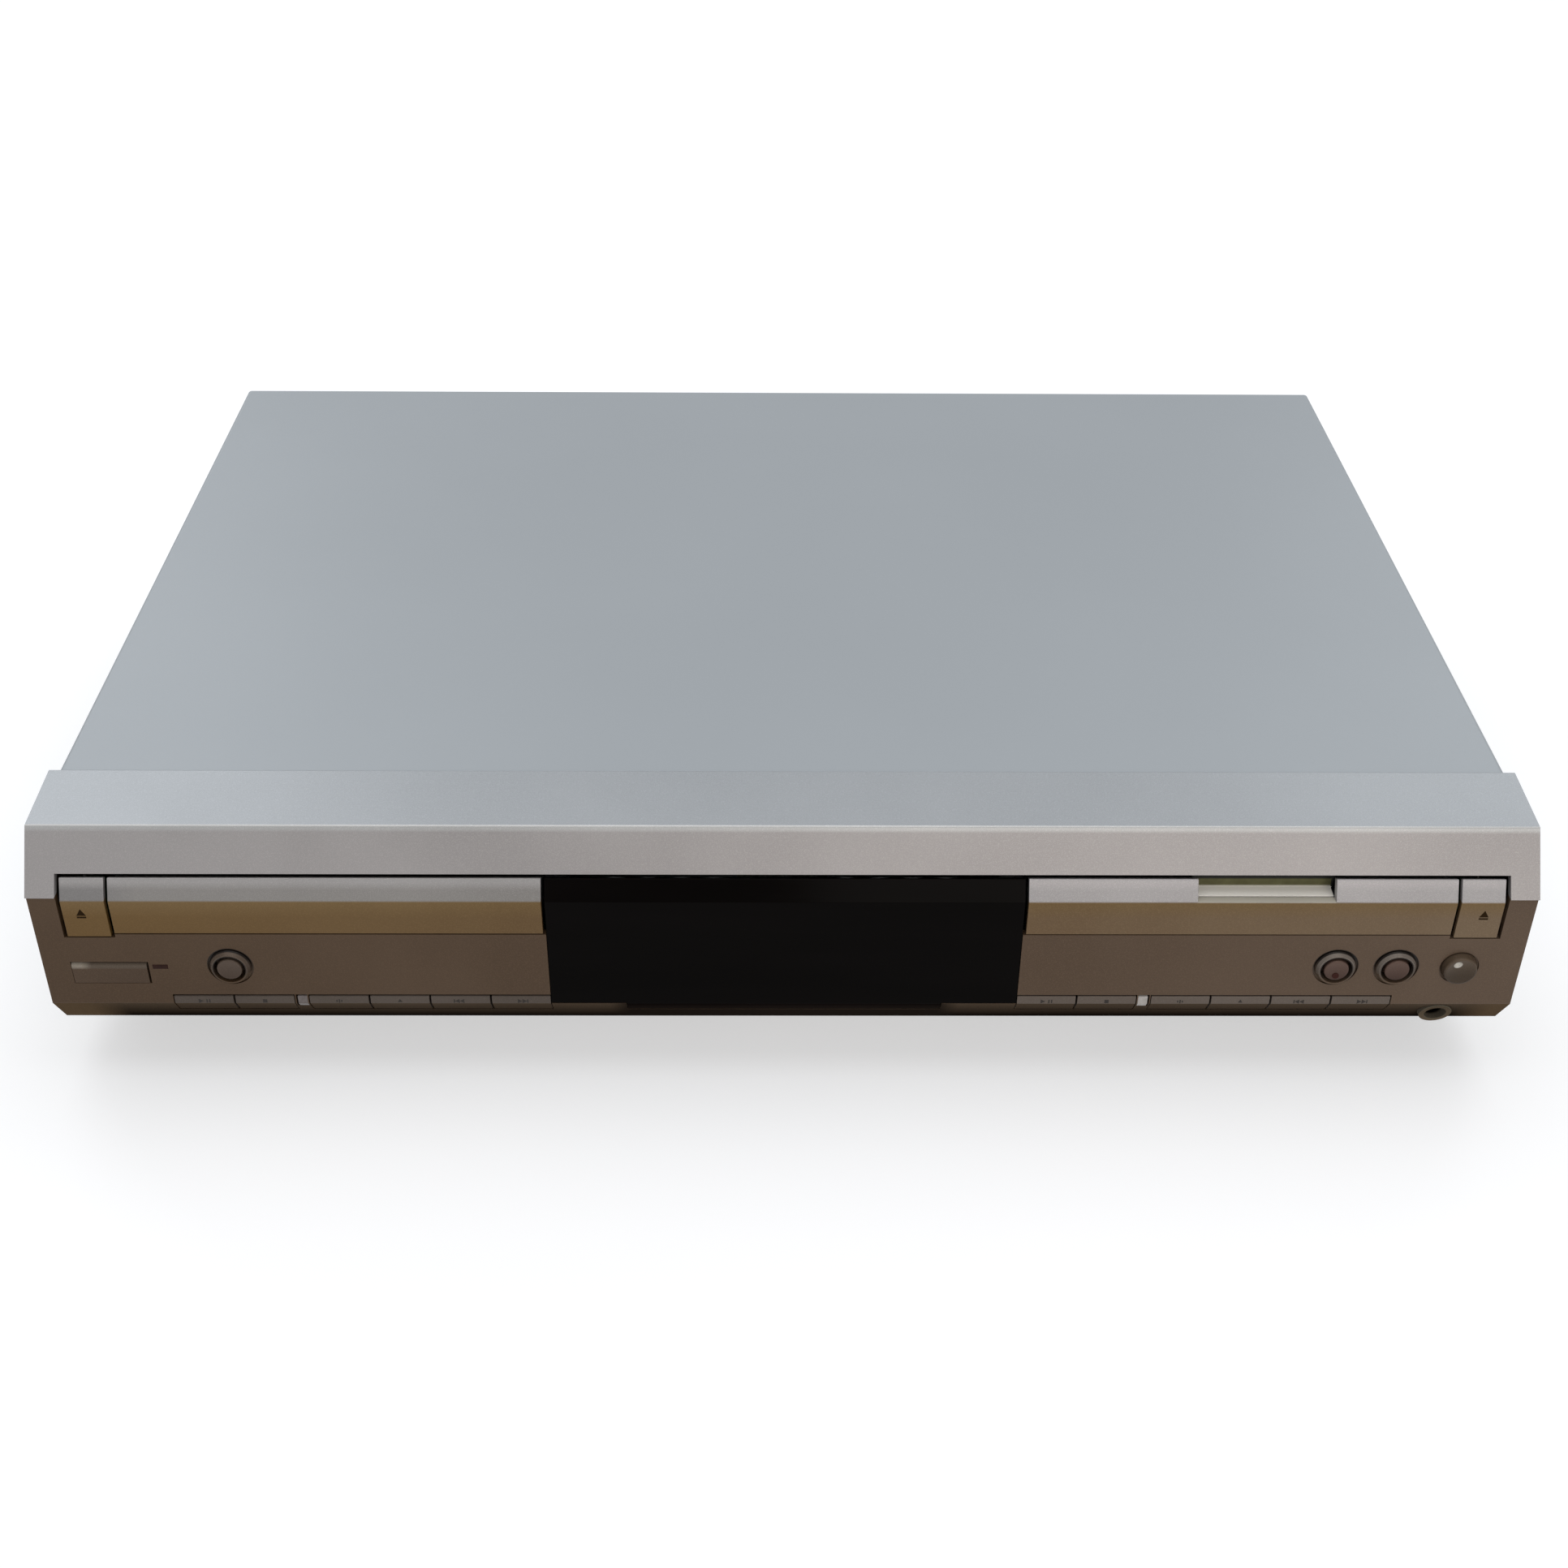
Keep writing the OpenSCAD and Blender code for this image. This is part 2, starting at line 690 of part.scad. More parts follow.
// Two ears behind the panel that hold the standby key's pin
pivot_inset = 1.5;
pivot_gap = 3;
pivot_x = -standby_x + pivot_inset;
pivot_d = inner_d + pivot_gap;
pivot_r = 1;
barrel_r = 1.8;
ear_t = 1.6;
ear_half = 2.2;
module standby_ears() {
  for (s = [-1, 1]) translate([0, 0, standby_z + s * (standby_h / 2 + slip + ear_t / 2)]) difference() {
    span(
      [pivot_x - ear_half, inner_d - eps, -ear_t / 2],
      [pivot_x + ear_half, pivot_d + ear_half, ear_t / 2]
    );
    translate([pivot_x, pivot_d, -5]) cylinder(r = pivot_r + fit, h = 10);
  }
}

module display_window() {
  top = [fascia_at(door_top_z) + door_set, door_top_z];
  bend = [panel_set, door_crease_z];
  low = [panel_set, corner_z + flange_gap];
  lip = [chin_at(lip_low_z), lip_low_z];
  color("#0d0b0b") from_front() {
    along_x(2 * window_half) polygon(rounded(thick([top, bend, low], door_t), [0.4, 0.5, 0, 0, 0, 0]));
    along_x(2 * lip_half) polygon(rounded(
      thick([bend, [panel_set, corner_z], lip], door_t), [0, 0.6, 0.4, 0, 0, 0]
    ));
  }
}

tube_inset = 14.4;
tube_h = 28;
tube_t = 6.5;
tube_drop = 10;
tip_len = 2;
tip_h = 4;
module display_tube() {
  half = window_half - tube_inset;
  low = button_z - tube_drop;
  color("#20302f") from_front() {
    span([-half, board_d - tube_t, low], [half, board_d, low + tube_h]);
    span(
      [half - eps, board_d - tube_t + tip_len, low + (tube_h - tip_h) / 2],
      [half + tip_len, board_d - tip_len, low + (tube_h + tip_h) / 2]
    );
  }
}

// The rows' indicators leave a dark gap on their outer side
lens_proud = 0.1;
lens_t = 2.2;
lens_gap = 0.5;
module indicator_lenses() {
  front = panel_set - lens_proud;
  width = lens_w - 2 * slip - lens_gap;
  line = [[front, key_top_z], [front, corner_z], [chin_at(lens_low_z), lens_low_z]];
  color("#e8e6e2") from_front() {
    for (start = row_starts)
      along_x(width, start + 2 * key_w + (lens_w - sign(start) * lens_gap) / 2)
        polygon(thick(line, lens_t));
    span(
      [-standby_lens_x, front, standby_lens_z - standby_lens_h / 2],
      [-standby_lens_x + standby_lens_w, inner_d + lens_t, standby_lens_z + standby_lens_h / 2]
    );
  }
}

// Front board: the board, a switch behind every key and button, and the level control
tab_drop = 3;
tab_half = 5;
tab_gap = 6;
phones_clear = 9;
control_r = 5;
control_h = 6;
module front_board() {
  tab_top = crease_z - tab_drop;
  color("#2f5a3c") from_front() {
    difference() {
      union() {
        span([-board_half, board_d, board_low], [board_half, board_d + board_t, board_top]);
        span(
          [tab_gap - window_half, board_d, board_low],
          [window_half - tab_gap, board_d + board_t, tab_top]
        );
        for (s = [-1, 1]) translate([s * eject_stem_x, 0, 0])
          span([-tab_half, board_d, board_low], [tab_half, board_d + board_t, tab_top]);
      }
      span(
        [phones_x - phones_clear, board_d - 1, 0],
        [body_w, board_d + board_t + 1, phones_z + phones_clear]
      );
    }
    for (p = switch_places) board_switch(p[0], p[1]);
    difference() {
      rod_y(control_r, knob_x, board_d - control_h, button_z, control_h);
      rod_y(knob_pin_r + fit, knob_x, board_d - control_h - 1, button_z, control_h + 1 - slip);
    }
  }
}
function key_x(start, i) = start + (i + 0.5) * key_w + (i > 1 ? lens_w : 0);
switch_places = concat(
  [for (start = row_starts, i = [0:5]) [key_x(start, i), key_top_z - key_switch_drop]],
  [for (x = [-button_x, button_x, copy_x]) [x, button_z]],
  [for (s = [-1, 1]) [s * eject_stem_x, eject_stem_z]],
  [[standby_stem_x, standby_z]]
);
switch_half = 3;
switch_t = 3.4;
plunger_r = 1.7;
module board_switch(x, z) {
  span([x - switch_half, board_d - switch_t, z - switch_half], [x + switch_half, board_d, z + switch_half]);
  rod_y(plunger_r, x, board_d - switch_h, z, switch_h - switch_t + eps);
}

// Headphone socket: a nose that stands out of the chin with a steeper face, and the body behind it
phones_d = chin_at(phones_z) + slip;
phones_body = 14;
phones_nose = 8;
phones_len = 26;
phones_under = 6;
phones_over = 7;
phones_proud = 1.5;
phones_lean = 0.44;
module headphone_jack() {
  face = chin_at(phones_z) - phones_proud;
  rise = 2 * phones_nose_r;
  low = phones_z - rise;
  high = phones_z + rise;
  back = phones_d + phones_nose;
  color("#55504a") from_front() difference() {
    union() {
      intersection() {
        rod_y(phones_nose_r, phones_x, -5, phones_z, 5 + back);
        along_x(4 * phones_nose_r, phones_x) polygon([
          [face - phones_lean * rise, high], [face + phones_lean * rise, low],
          [back + 1, low], [back + 1, high]
        ]);
      }
      span(
        [phones_x - phones_body / 2, back - eps, phones_z - phones_under],
        [phones_x + phones_body / 2, phones_d + phones_len, phones_z + phones_over]
      );
    }
    rod_y(phones_r, phones_x, -5, phones_z, phones_d + phones_len + 3);
  }
}

// Controls

// A key of the rows: a cap that wraps round the corner, a retaining lip and a stem to its switch
key_t = 2.2;
key_lip = 1.6;
key_web = 1.1;
key_web_drop = 0.3;
key_stem_half = 2;
key_stem_h = 2.6;
module row_key(start, i) {
  line = [[panel_set, key_top_z], [panel_set, corner_z], [chin_at(key_low_z), key_low_z]];
  width = key_w - key_gap;
  x = key_x(start, i);
  web_top = key_top_z - key_web_drop;
  back = flange_d + flange_t;
  front = panel_set + key_t / 2;
  color("#6d625a") from_front() {
    along_x(width, x) polygon(rounded(thick(line, key_t), [0.4, 0.6, 0.4, 0, 0, 0]));
    along_x(width - 2 * key_gap, x) polygon([
      [front, web_top - key_web], [back, web_top - key_web], [back, key_top_z + key_lip],
      [flange_d, key_top_z + key_lip], [flange_d, web_top], [front, web_top]
    ]);
    span([x - key_stem_half, flange_d, web_top - key_stem_h], [x + key_stem_half, stem_end, web_top - fit]);
  }
}

// A round button with a dished face, a retaining flange and a stem
button_flange = 2;
button_stem_r = 1.8;
button_dish = 0.4;
button_dish_r = 25;
module round_key(x, tint) {
  front = panel_set - button_proud;
  back = flange_d + flange_t;
  color(tint) from_front() difference() {
    turned_y(x, button_z) polygon(rounded(
      [[0, front], [button_r, front], [button_r, flange_d], [button_r + button_flange, flange_d],
       [button_r + button_flange, back], [button_stem_r, back], [button_stem_r, stem_end], [0, stem_end]],
      [0, 0.7, 0, 0, 0, 0, 0, 0]
    ));
    translate([x, front + button_dish - button_dish_r, button_z]) sphere(r = button_dish_r, $fn = 64);
  }
}

// Eject key: the doors' profile, a lip behind the visor's leg and a stem
eject_stem_half = 2;
eject_lip = 2;
eject_lip_half = 3;
eject_web = 3.5;
eject_web_inset = 0.75;
module eject_key(side) {
  line = [
    [fascia_at(door_top_z) + door_set, door_top_z], [panel_set, door_crease_z], [panel_set, eject_low_z]
  ];
  edge = eject_x + eject_w / 2;
  web_x = edge - eject_web_inset - eject_web / 2;
  lip_w = eject_web + eject_lip;
  front = panel_set + door_t / 2;
  color("#9a948c") from_front() {
    along_x(eject_w, side * eject_x)
      polygon(rounded(thick(line, door_t - 2 * flange_gap), [0.5, 0.6, 0, 0, 0, 0]));
    translate([side * web_x, 0, eject_stem_z])
      span([-eject_web / 2, front, -eject_lip_half], [eject_web / 2, flange_d + flange_t, eject_lip_half]);
    translate([side * (edge + eject_lip - lip_w / 2), 0, eject_stem_z])
      span([-lip_w / 2, flange_d, -eject_lip_half], [lip_w / 2, flange_d + flange_t, eject_lip_half]);
    translate([side * eject_stem_x, 0, eject_stem_z])
      span([-eject_stem_half, front, -eject_stem_half], [eject_stem_half, stem_end, eject_stem_half]);
  }
}

standby_round = 1.2;
standby_stem_half = 1.5;
standby_rest = 0.6;
module standby_key() {
  low = standby_z - standby_h / 2;
  back = inner_d - 2 * flange_gap;
  color("#75685a") from_front() {
    along_x(standby_w, standby_w / 2 - standby_x) polygon(rounded(
      [[panel_set, low], [panel_set, low + standby_h], [back, low + standby_h], [back, low]],
      [0, standby_round, 0, 0]
    ));
    span(
      [pivot_x - pivot_r, back - fit, low + flange_gap],
      [pivot_x + pivot_r, pivot_d, low + standby_h - flange_gap]
    );
    translate([pivot_x, pivot_d, low]) cylinder(r = barrel_r, h = standby_h);
    translate([pivot_x, pivot_d, low - ear_t]) cylinder(r = pivot_r, h = standby_h + 2 * ear_t);
    translate([standby_stem_x, 0, standby_z]) span(
      [-standby_stem_half, back - fit, -standby_stem_half],
      [standby_stem_half, stem_end - standby_rest, standby_stem_half]
    );
  }
}

knob_shaft_r = 3;
knob_pin_r = 2;
knob_taper = 0.6;
knob_ring = 0.4;
knob_seat = 0.6;
knob_lift = 0.2;
knob_dish = 0.8;
knob_dish_r = 12;
finger_r = 1.3;
finger_sink = 0.2;
finger_share = 0.45;
finger_turn = 25;
module level_knob() {
  front = panel_set - knob_proud;
  skirt = panel_set + knob_seat - knob_lift;
  seat = board_d - control_h - slip;
  tip = board_d - 1;
  color("#7b6d60") from_front() difference() {
    turned_y(knob_x, button_z) polygon(rounded(
      [[0, front], [knob_r - knob_taper, front], [knob_r, skirt], [knob_shaft_r, skirt],
       [knob_shaft_r, seat], [knob_pin_r, seat], [knob_pin_r, tip], [0, tip]],
      [0, 0.6, 0, 0, 0, 0, 0, 0]
    ));
    translate([knob_x, front + knob_dish - knob_dish_r, button_z]) sphere(r = knob_dish_r, $fn = 64);
    translate([knob_x, front - finger_sink, button_z]) rotate([0, -finger_turn, 0])
      translate([0, 0, knob_r * finger_share]) sphere(r = finger_r, $fn = 32);
  }
}

// Doors and trays

door_line = [
  [fascia_at(door_top_z) + door_set, door_top_z], [panel_set, door_crease_z], [panel_set, door_low_z]
];
door_outline = rounded(thick(door_line, door_t), [0.5, 0.6, 0, 0, 0, 0]);

module player_door() {
  color("#8d7a58") in_deck(-1) along_x(door_w) polygon(door_outline);
}

module recorder_door() {
  color("#8d7a58") in_deck(1) difference() {
    along_x(door_w) polygon(door_outline);
    span([notch_shift - notch_w / 2, -5, notch_z], [notch_shift + notch_w / 2, 20, door_top_z + 5]);
  }
}

// The pale liner of the pocket in the recorder's door: a floor, a back and two ends
notch_drop = 1.35;
notch_z = crease_z - notch_drop;
notch_back = panel_set + notch_d;
liner_t = 1;
liner_gap = 0.9;
liner_front = notch_back - panel_set;
module record_window() {
  low = rim_z;
  half = notch_w / 2;
  high = door_top_z - tray_gap;
  color("#d9d6c6") in_deck(1) translate([notch_shift, 0, 0]) {
    span([-half, tray_front + liner_gap, low], [half, notch_back + liner_t, notch_z]);
    span([-half, notch_back, notch_z - eps], [half, notch_back + liner_t, high]);
    for (s = [-1, 1]) translate([s * (half + liner_t / 2), 0, 0])
      span([-liner_t / 2 - eps, liner_front, low], [liner_t / 2 + eps, notch_back + liner_t, high]);
  }
}

module tray(side) {
  color("#3a3a3c") in_deck(side) {
    difference() {
      span([-tray_w / 2, tray_front, tray_low], [tray_w / 2, tray_back, rim_z]);
      translate([0, disc_y, well_z]) cylinder(r = disc_d / 2 + well_gap, h = 10, $fn = 96);
      translate([0, disc_y, well_z - small_well]) cylinder(r = small_disc_d / 2 + well_gap, h = 10, $fn = 96);
      translate([0, disc_y, tray_low - 1]) cylinder(r = slot_half, h = 20, $fn = 96);
      span([-slot_half, disc_y, tray_low - 1], [slot_half, tray_back + 1, rim_z + 1]);
    }
    rack();
  }
}

// Rack under the tray's edge, with a gap centred on the gear
rack_spare = 16;
rack_lead = 5;
module rack() {
  pitch = PI * tooth;
  count = floor((tray_travel + rack_spare) / pitch);
  first = gear_d - (rack_lead + 0.5) * pitch;
  half = pitch * tooth_share / 4;
  slope = tan(20);
  function flank(y, s, h) = y + s * (half - h * slope);
  back = rack_u + rack_t;
  root = rack_u + rack_root;
  tip = rack_u - rack_tip;
  outline = concat(
    [[back, first + count * pitch], [back, first - pitch], [root, first - pitch]],
    [for (i = [0:count - 1]) let (y = first + i * pitch) each [
      [root, flank(y, -1, -rack_root)], [tip, flank(y, -1, rack_tip)],
      [tip, flank(y, 1, rack_tip)], [root, flank(y, 1, -rack_root)]
    ]],
    [[root, first + count * pitch]]
  );
  translate([0, 0, tray_low - rack_h]) linear_extrude(rack_h + eps) polygon(outline);
}

// Loader frame: two channels for the tray, a floor for the gears, legs, and lugs for the traverse
axle_r = 2;
axle_proud = 0.5;
pinion_hole_r = 3;
shelf_gap = 22;
cross_bar = 3;
bore_len = 9;
module deck_frame(side) {
  shelf_back = disc_y - shelf_gap;
  bar_top = tray_low - rack_h - 1;
  color("#4a4a4d") in_deck(side) difference() {
    union() {
      for (s = [-1, 1]) channel(s);
      span(
        [-frame_in - eps, frame_front, deck_floor_z - deck_floor_t],
        [frame_in + eps, shelf_back, deck_floor_z]
      );
      span([-frame_in - eps, frame_back - cross_bar, frame_low], [frame_in + eps, frame_back, bar_top]);
      for (s = [-1, 1], d = leg_depths) leg(s, d);
      for (s = [-1, 1], d = lug_depths) lug(s, d);
      translate([gear_u, gear_d, deck_floor_z - eps]) cylinder(r = axle_r, h = gear_t + axle_proud);
    }
    translate([pinion_u, gear_d, deck_floor_z - 2 * deck_floor_t])
      cylinder(r = pinion_hole_r, h = 4 * deck_floor_t);
    for (p = leg_screws)
      translate([p[0] - side * deck_x, p[1], floor_z - 1]) cylinder(r = screw_r + fit, h = bore_len);
  }
}

ledge_w = 2.2;
ledge_t = 2;
keeper_w = 1.4;
keeper_t = 1.5;
keeper_len = 40;
module channel(s) {
  half = (frame_out - frame_in) / 2;
  ledge_top = tray_low - flange_gap;
  keeper_low = rim_z + slip;
  translate([s * (frame_in + half), 0, 0])
    span([-half, frame_front, frame_low], [half, frame_back, frame_top]);
  translate([s * (frame_in - ledge_w / 2), 0, 0])
    span([-ledge_w / 2 - eps, frame_front, ledge_top - ledge_t], [ledge_w / 2 + eps, frame_back, ledge_top]);
  translate([s * (frame_in - keeper_w / 2), 0, 0]) span(
    [-keeper_w / 2 - eps, frame_front, keeper_low],
    [keeper_w / 2 + eps, frame_front + keeper_len, keeper_low + keeper_t]
  );
}

// A leg reaches up to the shelf at the front and to the lugs' height at the back
module leg(s, d) {
  x = s * (frame_out - leg_size / 2);
  top = d < leg_depths[1] ? deck_floor_z - deck_floor_t + eps : frame_low + lug_t;
  span([x - leg_size / 2, d, floor_z], [x + leg_size / 2, d + leg_size, top]);
}

module lug(s, d) {
  inner = damper_u - damper_r - 1;
  x = s * (inner + frame_in) / 2;
  half = (frame_in - inner) / 2;
  span([x - half - eps, d, frame_low], [x + half + eps, d + lug_len, frame_low + lug_t]);
}

module dampers() {
  color("#1c1c1e") for (side = [-1, 1]) in_deck(side) for (s = [-1, 1], d = lug_depths)
    translate([s * damper_u, d + lug_len / 2, frame_low + lug_t]) cylinder(r = damper_r, h = damper_h);
}

spindle_hole_r = 5;
sled_slot_half = 14;
sled_slot_inset = 4;
rod_post_half = 3;
module traverse_plates() {
  post_top = rod_z + rod_post_half;
  color("#9aa0a2") for (side = [-1, 1]) in_deck(side) {
    difference() {
      span([-traverse_half, traverse_front, traverse_z], [traverse_half, traverse_back, traverse_top]);
      translate([0, disc_y, traverse_z - 1]) cylinder(r = spindle_hole_r, h = traverse_t + 2);
      span(
        [-sled_slot_half, sled_home + sled_slot_inset, traverse_z - 1],
        [sled_slot_half, rod_back - sled_slot_inset, traverse_top + 1]
      );
    }
    for (s = [-1, 1], d = [rod_front, rod_back]) difference() {
      span(
        [s * rod_u - rod_post_half, d, traverse_top - eps],
        [s * rod_u + rod_post_half, d + rod_post_t, post_top]
      );
      rod_y(rod_r, s * rod_u, d - 1, rod_z, rod_post_t + 2);
    }
    difference() {
      span(
        [screw_u - rod_post_half, rod_front, traverse_top - eps],
        [screw_u + rod_post_half, rod_front + rod_post_t, post_top]
      );
      rod_y(rod_r + fit, screw_u, rod_front - 1, rod_z, rod_post_t + 2);
    }
  }
}

module guide_rods() {
  color("#d0d2d4") for (side = [-1, 1]) in_deck(side) for (s = [-1, 1])
    rod_y(rod_r, s * rod_u, rod_front, rod_z, rod_back + rod_post_t - rod_front);
}

// Loading, spindle and sled motors of both decks
loading_motor_r = 10.5;
loading_motor_h = 18;
spindle_motor_r = 12;
spindle_motor_h = 9;
shaft_r = 1;
shaft_depth = 9;
module drive_motors() {
  floor_low = deck_floor_z - deck_floor_t;
  motor_d = rod_back + rod_post_t;
  color("#b0b2b4") for (side = [-1, 1]) in_deck(side) {
    difference() {
      translate([pinion_u, gear_d, floor_low - loading_motor_h])
        cylinder(r = loading_motor_r, h = loading_motor_h);
      translate([pinion_u, gear_d, floor_low - shaft_depth - 1])
        cylinder(r = shaft_r + fit, h = shaft_depth + 2);
    }
    difference() {
      translate([0, disc_y, traverse_z - spindle_motor_h]) cylinder(r = spindle_motor_r, h = spindle_motor_h);
      translate([0, disc_y, traverse_z - spindle_motor_h + 1]) cylinder(r = rod_r + fit, h = spindle_motor_h);
    }
    difference() {
      union() {
        rod_y(rod_lift, screw_u, motor_d, rod_z, sled_motor_len);
        span(
          [screw_u - rod_lift / 2, motor_d, traverse_top],
          [screw_u + rod_lift / 2, motor_d + sled_motor_len, rod_z]
        );
      }
      rod_y(rod_r + fit, screw_u, motor_d - 1, rod_z, sled_motor_len / 2 + 1);
    }
  }
}

gear_hole_r = 2.6;
module loading_gear(side) {
  web_r = (axle_r + gear_r) / 2;
  color("#e4e0d6") in_deck(side) translate([gear_u, gear_d, gear_low]) difference() {
    linear_extrude(gear_t) polygon(gear_outline(gear_n, 0));
    translate([0, 0, -1]) cylinder(r = axle_r + fit, h = gear_t + 2);
    for (a = [0:60:300]) rotate([0, 0, a])
      translate([web_r, 0, -1]) cylinder(r = gear_hole_r, h = gear_t + 2);
  }
}

module loading_pinion(side) {
  shaft_low = deck_floor_z - deck_floor_t - shaft_depth;
  color("#e4e0d6") in_deck(side) translate([pinion_u, gear_d, 0]) {
    translate([0, 0, gear_low]) linear_extrude(gear_t) polygon(gear_outline(pinion_n, 180 / pinion_n));
    translate([0, 0, shaft_low]) cylinder(r = shaft_r, h = gear_low - shaft_low + eps);
  }
}

sled_side = 4;
sled_float = 1.2;
nut_start = 8;
nut_len = 12;
lens_r = 4;
lens_h = 2;
lens_start = 13;
module sled(side) {
  half = rod_u + sled_side;
  low = traverse_top + sled_float;
  color("#5b5f63") in_deck(side) difference() {
    union() {
      span([-half, sled_home, low], [half, sled_home + sled_len, sled_top]);
      span(
        [half - eps, sled_home + nut_start, low],
        [screw_u + sled_side, sled_home + nut_start + nut_len, sled_top]
      );
      translate([0, sled_home + lens_start, sled_top - eps]) cylinder(r = lens_r, h = lens_h);
    }
    for (s = [-1, 1]) rod_y(rod_r + fit, s * rod_u, sled_home - 1, rod_z, sled_len + 2);
    rod_y(rod_r + fit, screw_u, sled_home, rod_z, sled_len);
  }
}

module lead_screw(side) {
  tail = sled_motor_len / 2 - 1;
  color("#c9cbce") in_deck(side)
    rod_y(rod_r, screw_u, rod_front, rod_z, rod_back + rod_post_t + tail - rod_front);
}

module turntable(side) {
  shaft_low = traverse_z - spindle_motor_h + 2;
  top = disc_z + hub_h;
  color("#2e2e30") in_deck(side) translate([0, disc_y, 0]) rotate_extrude() polygon([
    [0, shaft_low], [rod_r, shaft_low], [rod_r, disc_z - platter_t], [platter_r, disc_z - platter_t],
    [platter_r, disc_z], [hub_r, disc_z], [hub_r, disc_z + hub_h / 2], [hub_r - hub_h, top], [0, top]
  ]);
}

// Clamp puck: it hangs by its flange in the bridge, over the turntable
puck_neck_r = 8;
puck_flange_r = 12;
puck_flange_t = 1.2;
module puck(side) {
  over = frame_top + bridge_t + flange_gap;
  color("#dcdad2") in_deck(side) translate([0, disc_y, 0]) rotate_extrude() polygon([
    [0, puck_z], [puck_r, puck_z], [puck_r, puck_z + puck_t],
    [puck_neck_r, puck_z + puck_t], [puck_neck_r, over],
    [puck_flange_r, over], [puck_flange_r, over + puck_flange_t], [0, over + puck_flange_t]
  ]);
}

bridge_hole_gap = 1;
module clamp_bridges() {
  color("#a9adaf") for (side = [-1, 1]) in_deck(side) difference() {
    span(
      [-frame_out, disc_y - bridge_half, frame_top],
      [frame_out, disc_y + bridge_half, frame_top + bridge_t]
    );
    translate([0, disc_y, frame_top - 1]) cylinder(r = puck_neck_r + bridge_hole_gap, h = bridge_t + 2);
  }
}

// Rear boards and sockets

ribbon_w = 30;
ribbon_t = 0.4;
ribbon_rise = 22;
ribbon_lift = 2;
ribbon_plug = 4;
chip_h = 2.4;
chips = [[45, 50, 28], [105, 30, 20], [195, 40, 24], [150, 22, 14]];
module main_board() {
  plug_d = rear_board_d + ribbon_plug;
  fall_d = rear_board_d - 6;
  rise_d = pan_front + 8;
  front_z = board_low + ribbon_rise;
  ribbon = [
    [plug_d, board_top_z + ribbon_lift], [fall_d, board_top_z + ribbon_lift], [fall_d, floor_z + ribbon_lift],
    [rise_d, floor_z + ribbon_lift], [rise_d, front_z], [board_d + board_t, front_z]
  ];
  color("#2f5a3c") from_front() {
    span([main_board_x, rear_board_d, board_z], [board_reach, rear_d - 2, board_top_z]);
    for (p = chips) translate([main_board_x + p[0], rear_board_d + p[1], board_top_z - eps])
      cube([p[2], p[2], chip_h]);
    along_x(ribbon_w, 0) polygon(thick(ribbon, ribbon_t));
    span(
      [-ribbon_w / 2 - 2, plug_d - 1, board_top_z - eps],
      [ribbon_w / 2 + 2, plug_d + ribbon_plug - 1, board_top_z + ribbon_lift - slip / 3]
    );
  }
}

transformer_w = 55;
transformer_d = 46;
transformer_h = 40;
winding_inset = 6;
capacitor_r = 8;
capacitor_h = 26;
heatsink_t = 4;
heatsink_d = 50;
heatsink_h = 30;
module power_board() {
  left = -board_reach;
  core_x = left + 50;
  core_d = rear_board_d + 12;
  color("#7a6a3a") from_front() {
    span([left, rear_board_d, board_z], [power_board_x, rear_d - 2, board_top_z]);
    translate([core_x, core_d, board_top_z - eps]) cube([transformer_w, transformer_d, transformer_h]);
    translate([core_x + winding_inset, core_d - winding_inset, board_top_z + winding_inset]) cube([
      transformer_w - 2 * winding_inset, transformer_d + 2 * winding_inset, transformer_h - 2 * winding_inset
    ]);
    for (i = [0:2]) translate([left + 14, rear_board_d + 14 + i * 20, board_top_z - eps])
      cylinder(r = capacitor_r, h = capacitor_h);
    translate([core_x + transformer_w + winding_inset, core_d - 2, board_top_z - eps])
      cube([heatsink_t, heatsink_d, heatsink_h]);
  }
}

phono_flange_r = 5.4;
phono_flange_t = 1.6;
phono_hole_r = 1.7;
phono_hole_d = 8;
module phono_sockets() {
  back = rear_d + plate;
  half = phono_body / 2;
  color("#c9b27a") from_front() for (i = [0:2]) translate([phono_x + i * phono_pitch, 0, board_top_z]) {
    difference() {
      union() {
        span([-half, rear_d - phono_body_d, 0], [half, rear_d - slip, phono_rows[1] + half]);
        for (z = phono_rows) {
          rod_y(phono_flange_r, 0, rear_d - 1, z, plate + 1 + phono_flange_t);
          rod_y(phono_r, 0, rear_d, z, plate + phono_len);
        }
      }
      for (z = phono_rows) rod_y(phono_hole_r, 0, back + phono_len - phono_hole_d, z, phono_hole_d + 2);
    }
  }
}

optical_proud = 0.8;
optical_rim = 2;
module optical_sockets() {
  back = rear_d + plate;
  half = optical_w / 2;
  color("#242426") from_front() for (i = [0:1])
    translate([optical_x + i * optical_pitch, 0, board_top_z]) difference() {
      span([-half, rear_d - phono_body_d, 0], [half, back + optical_proud, optical_w]);
      span(
        [optical_rim - half, back - optical_proud, optical_rim],
        [half - optical_rim, back + optical_proud + 1, optical_w - optical_rim]
      );
    }
}

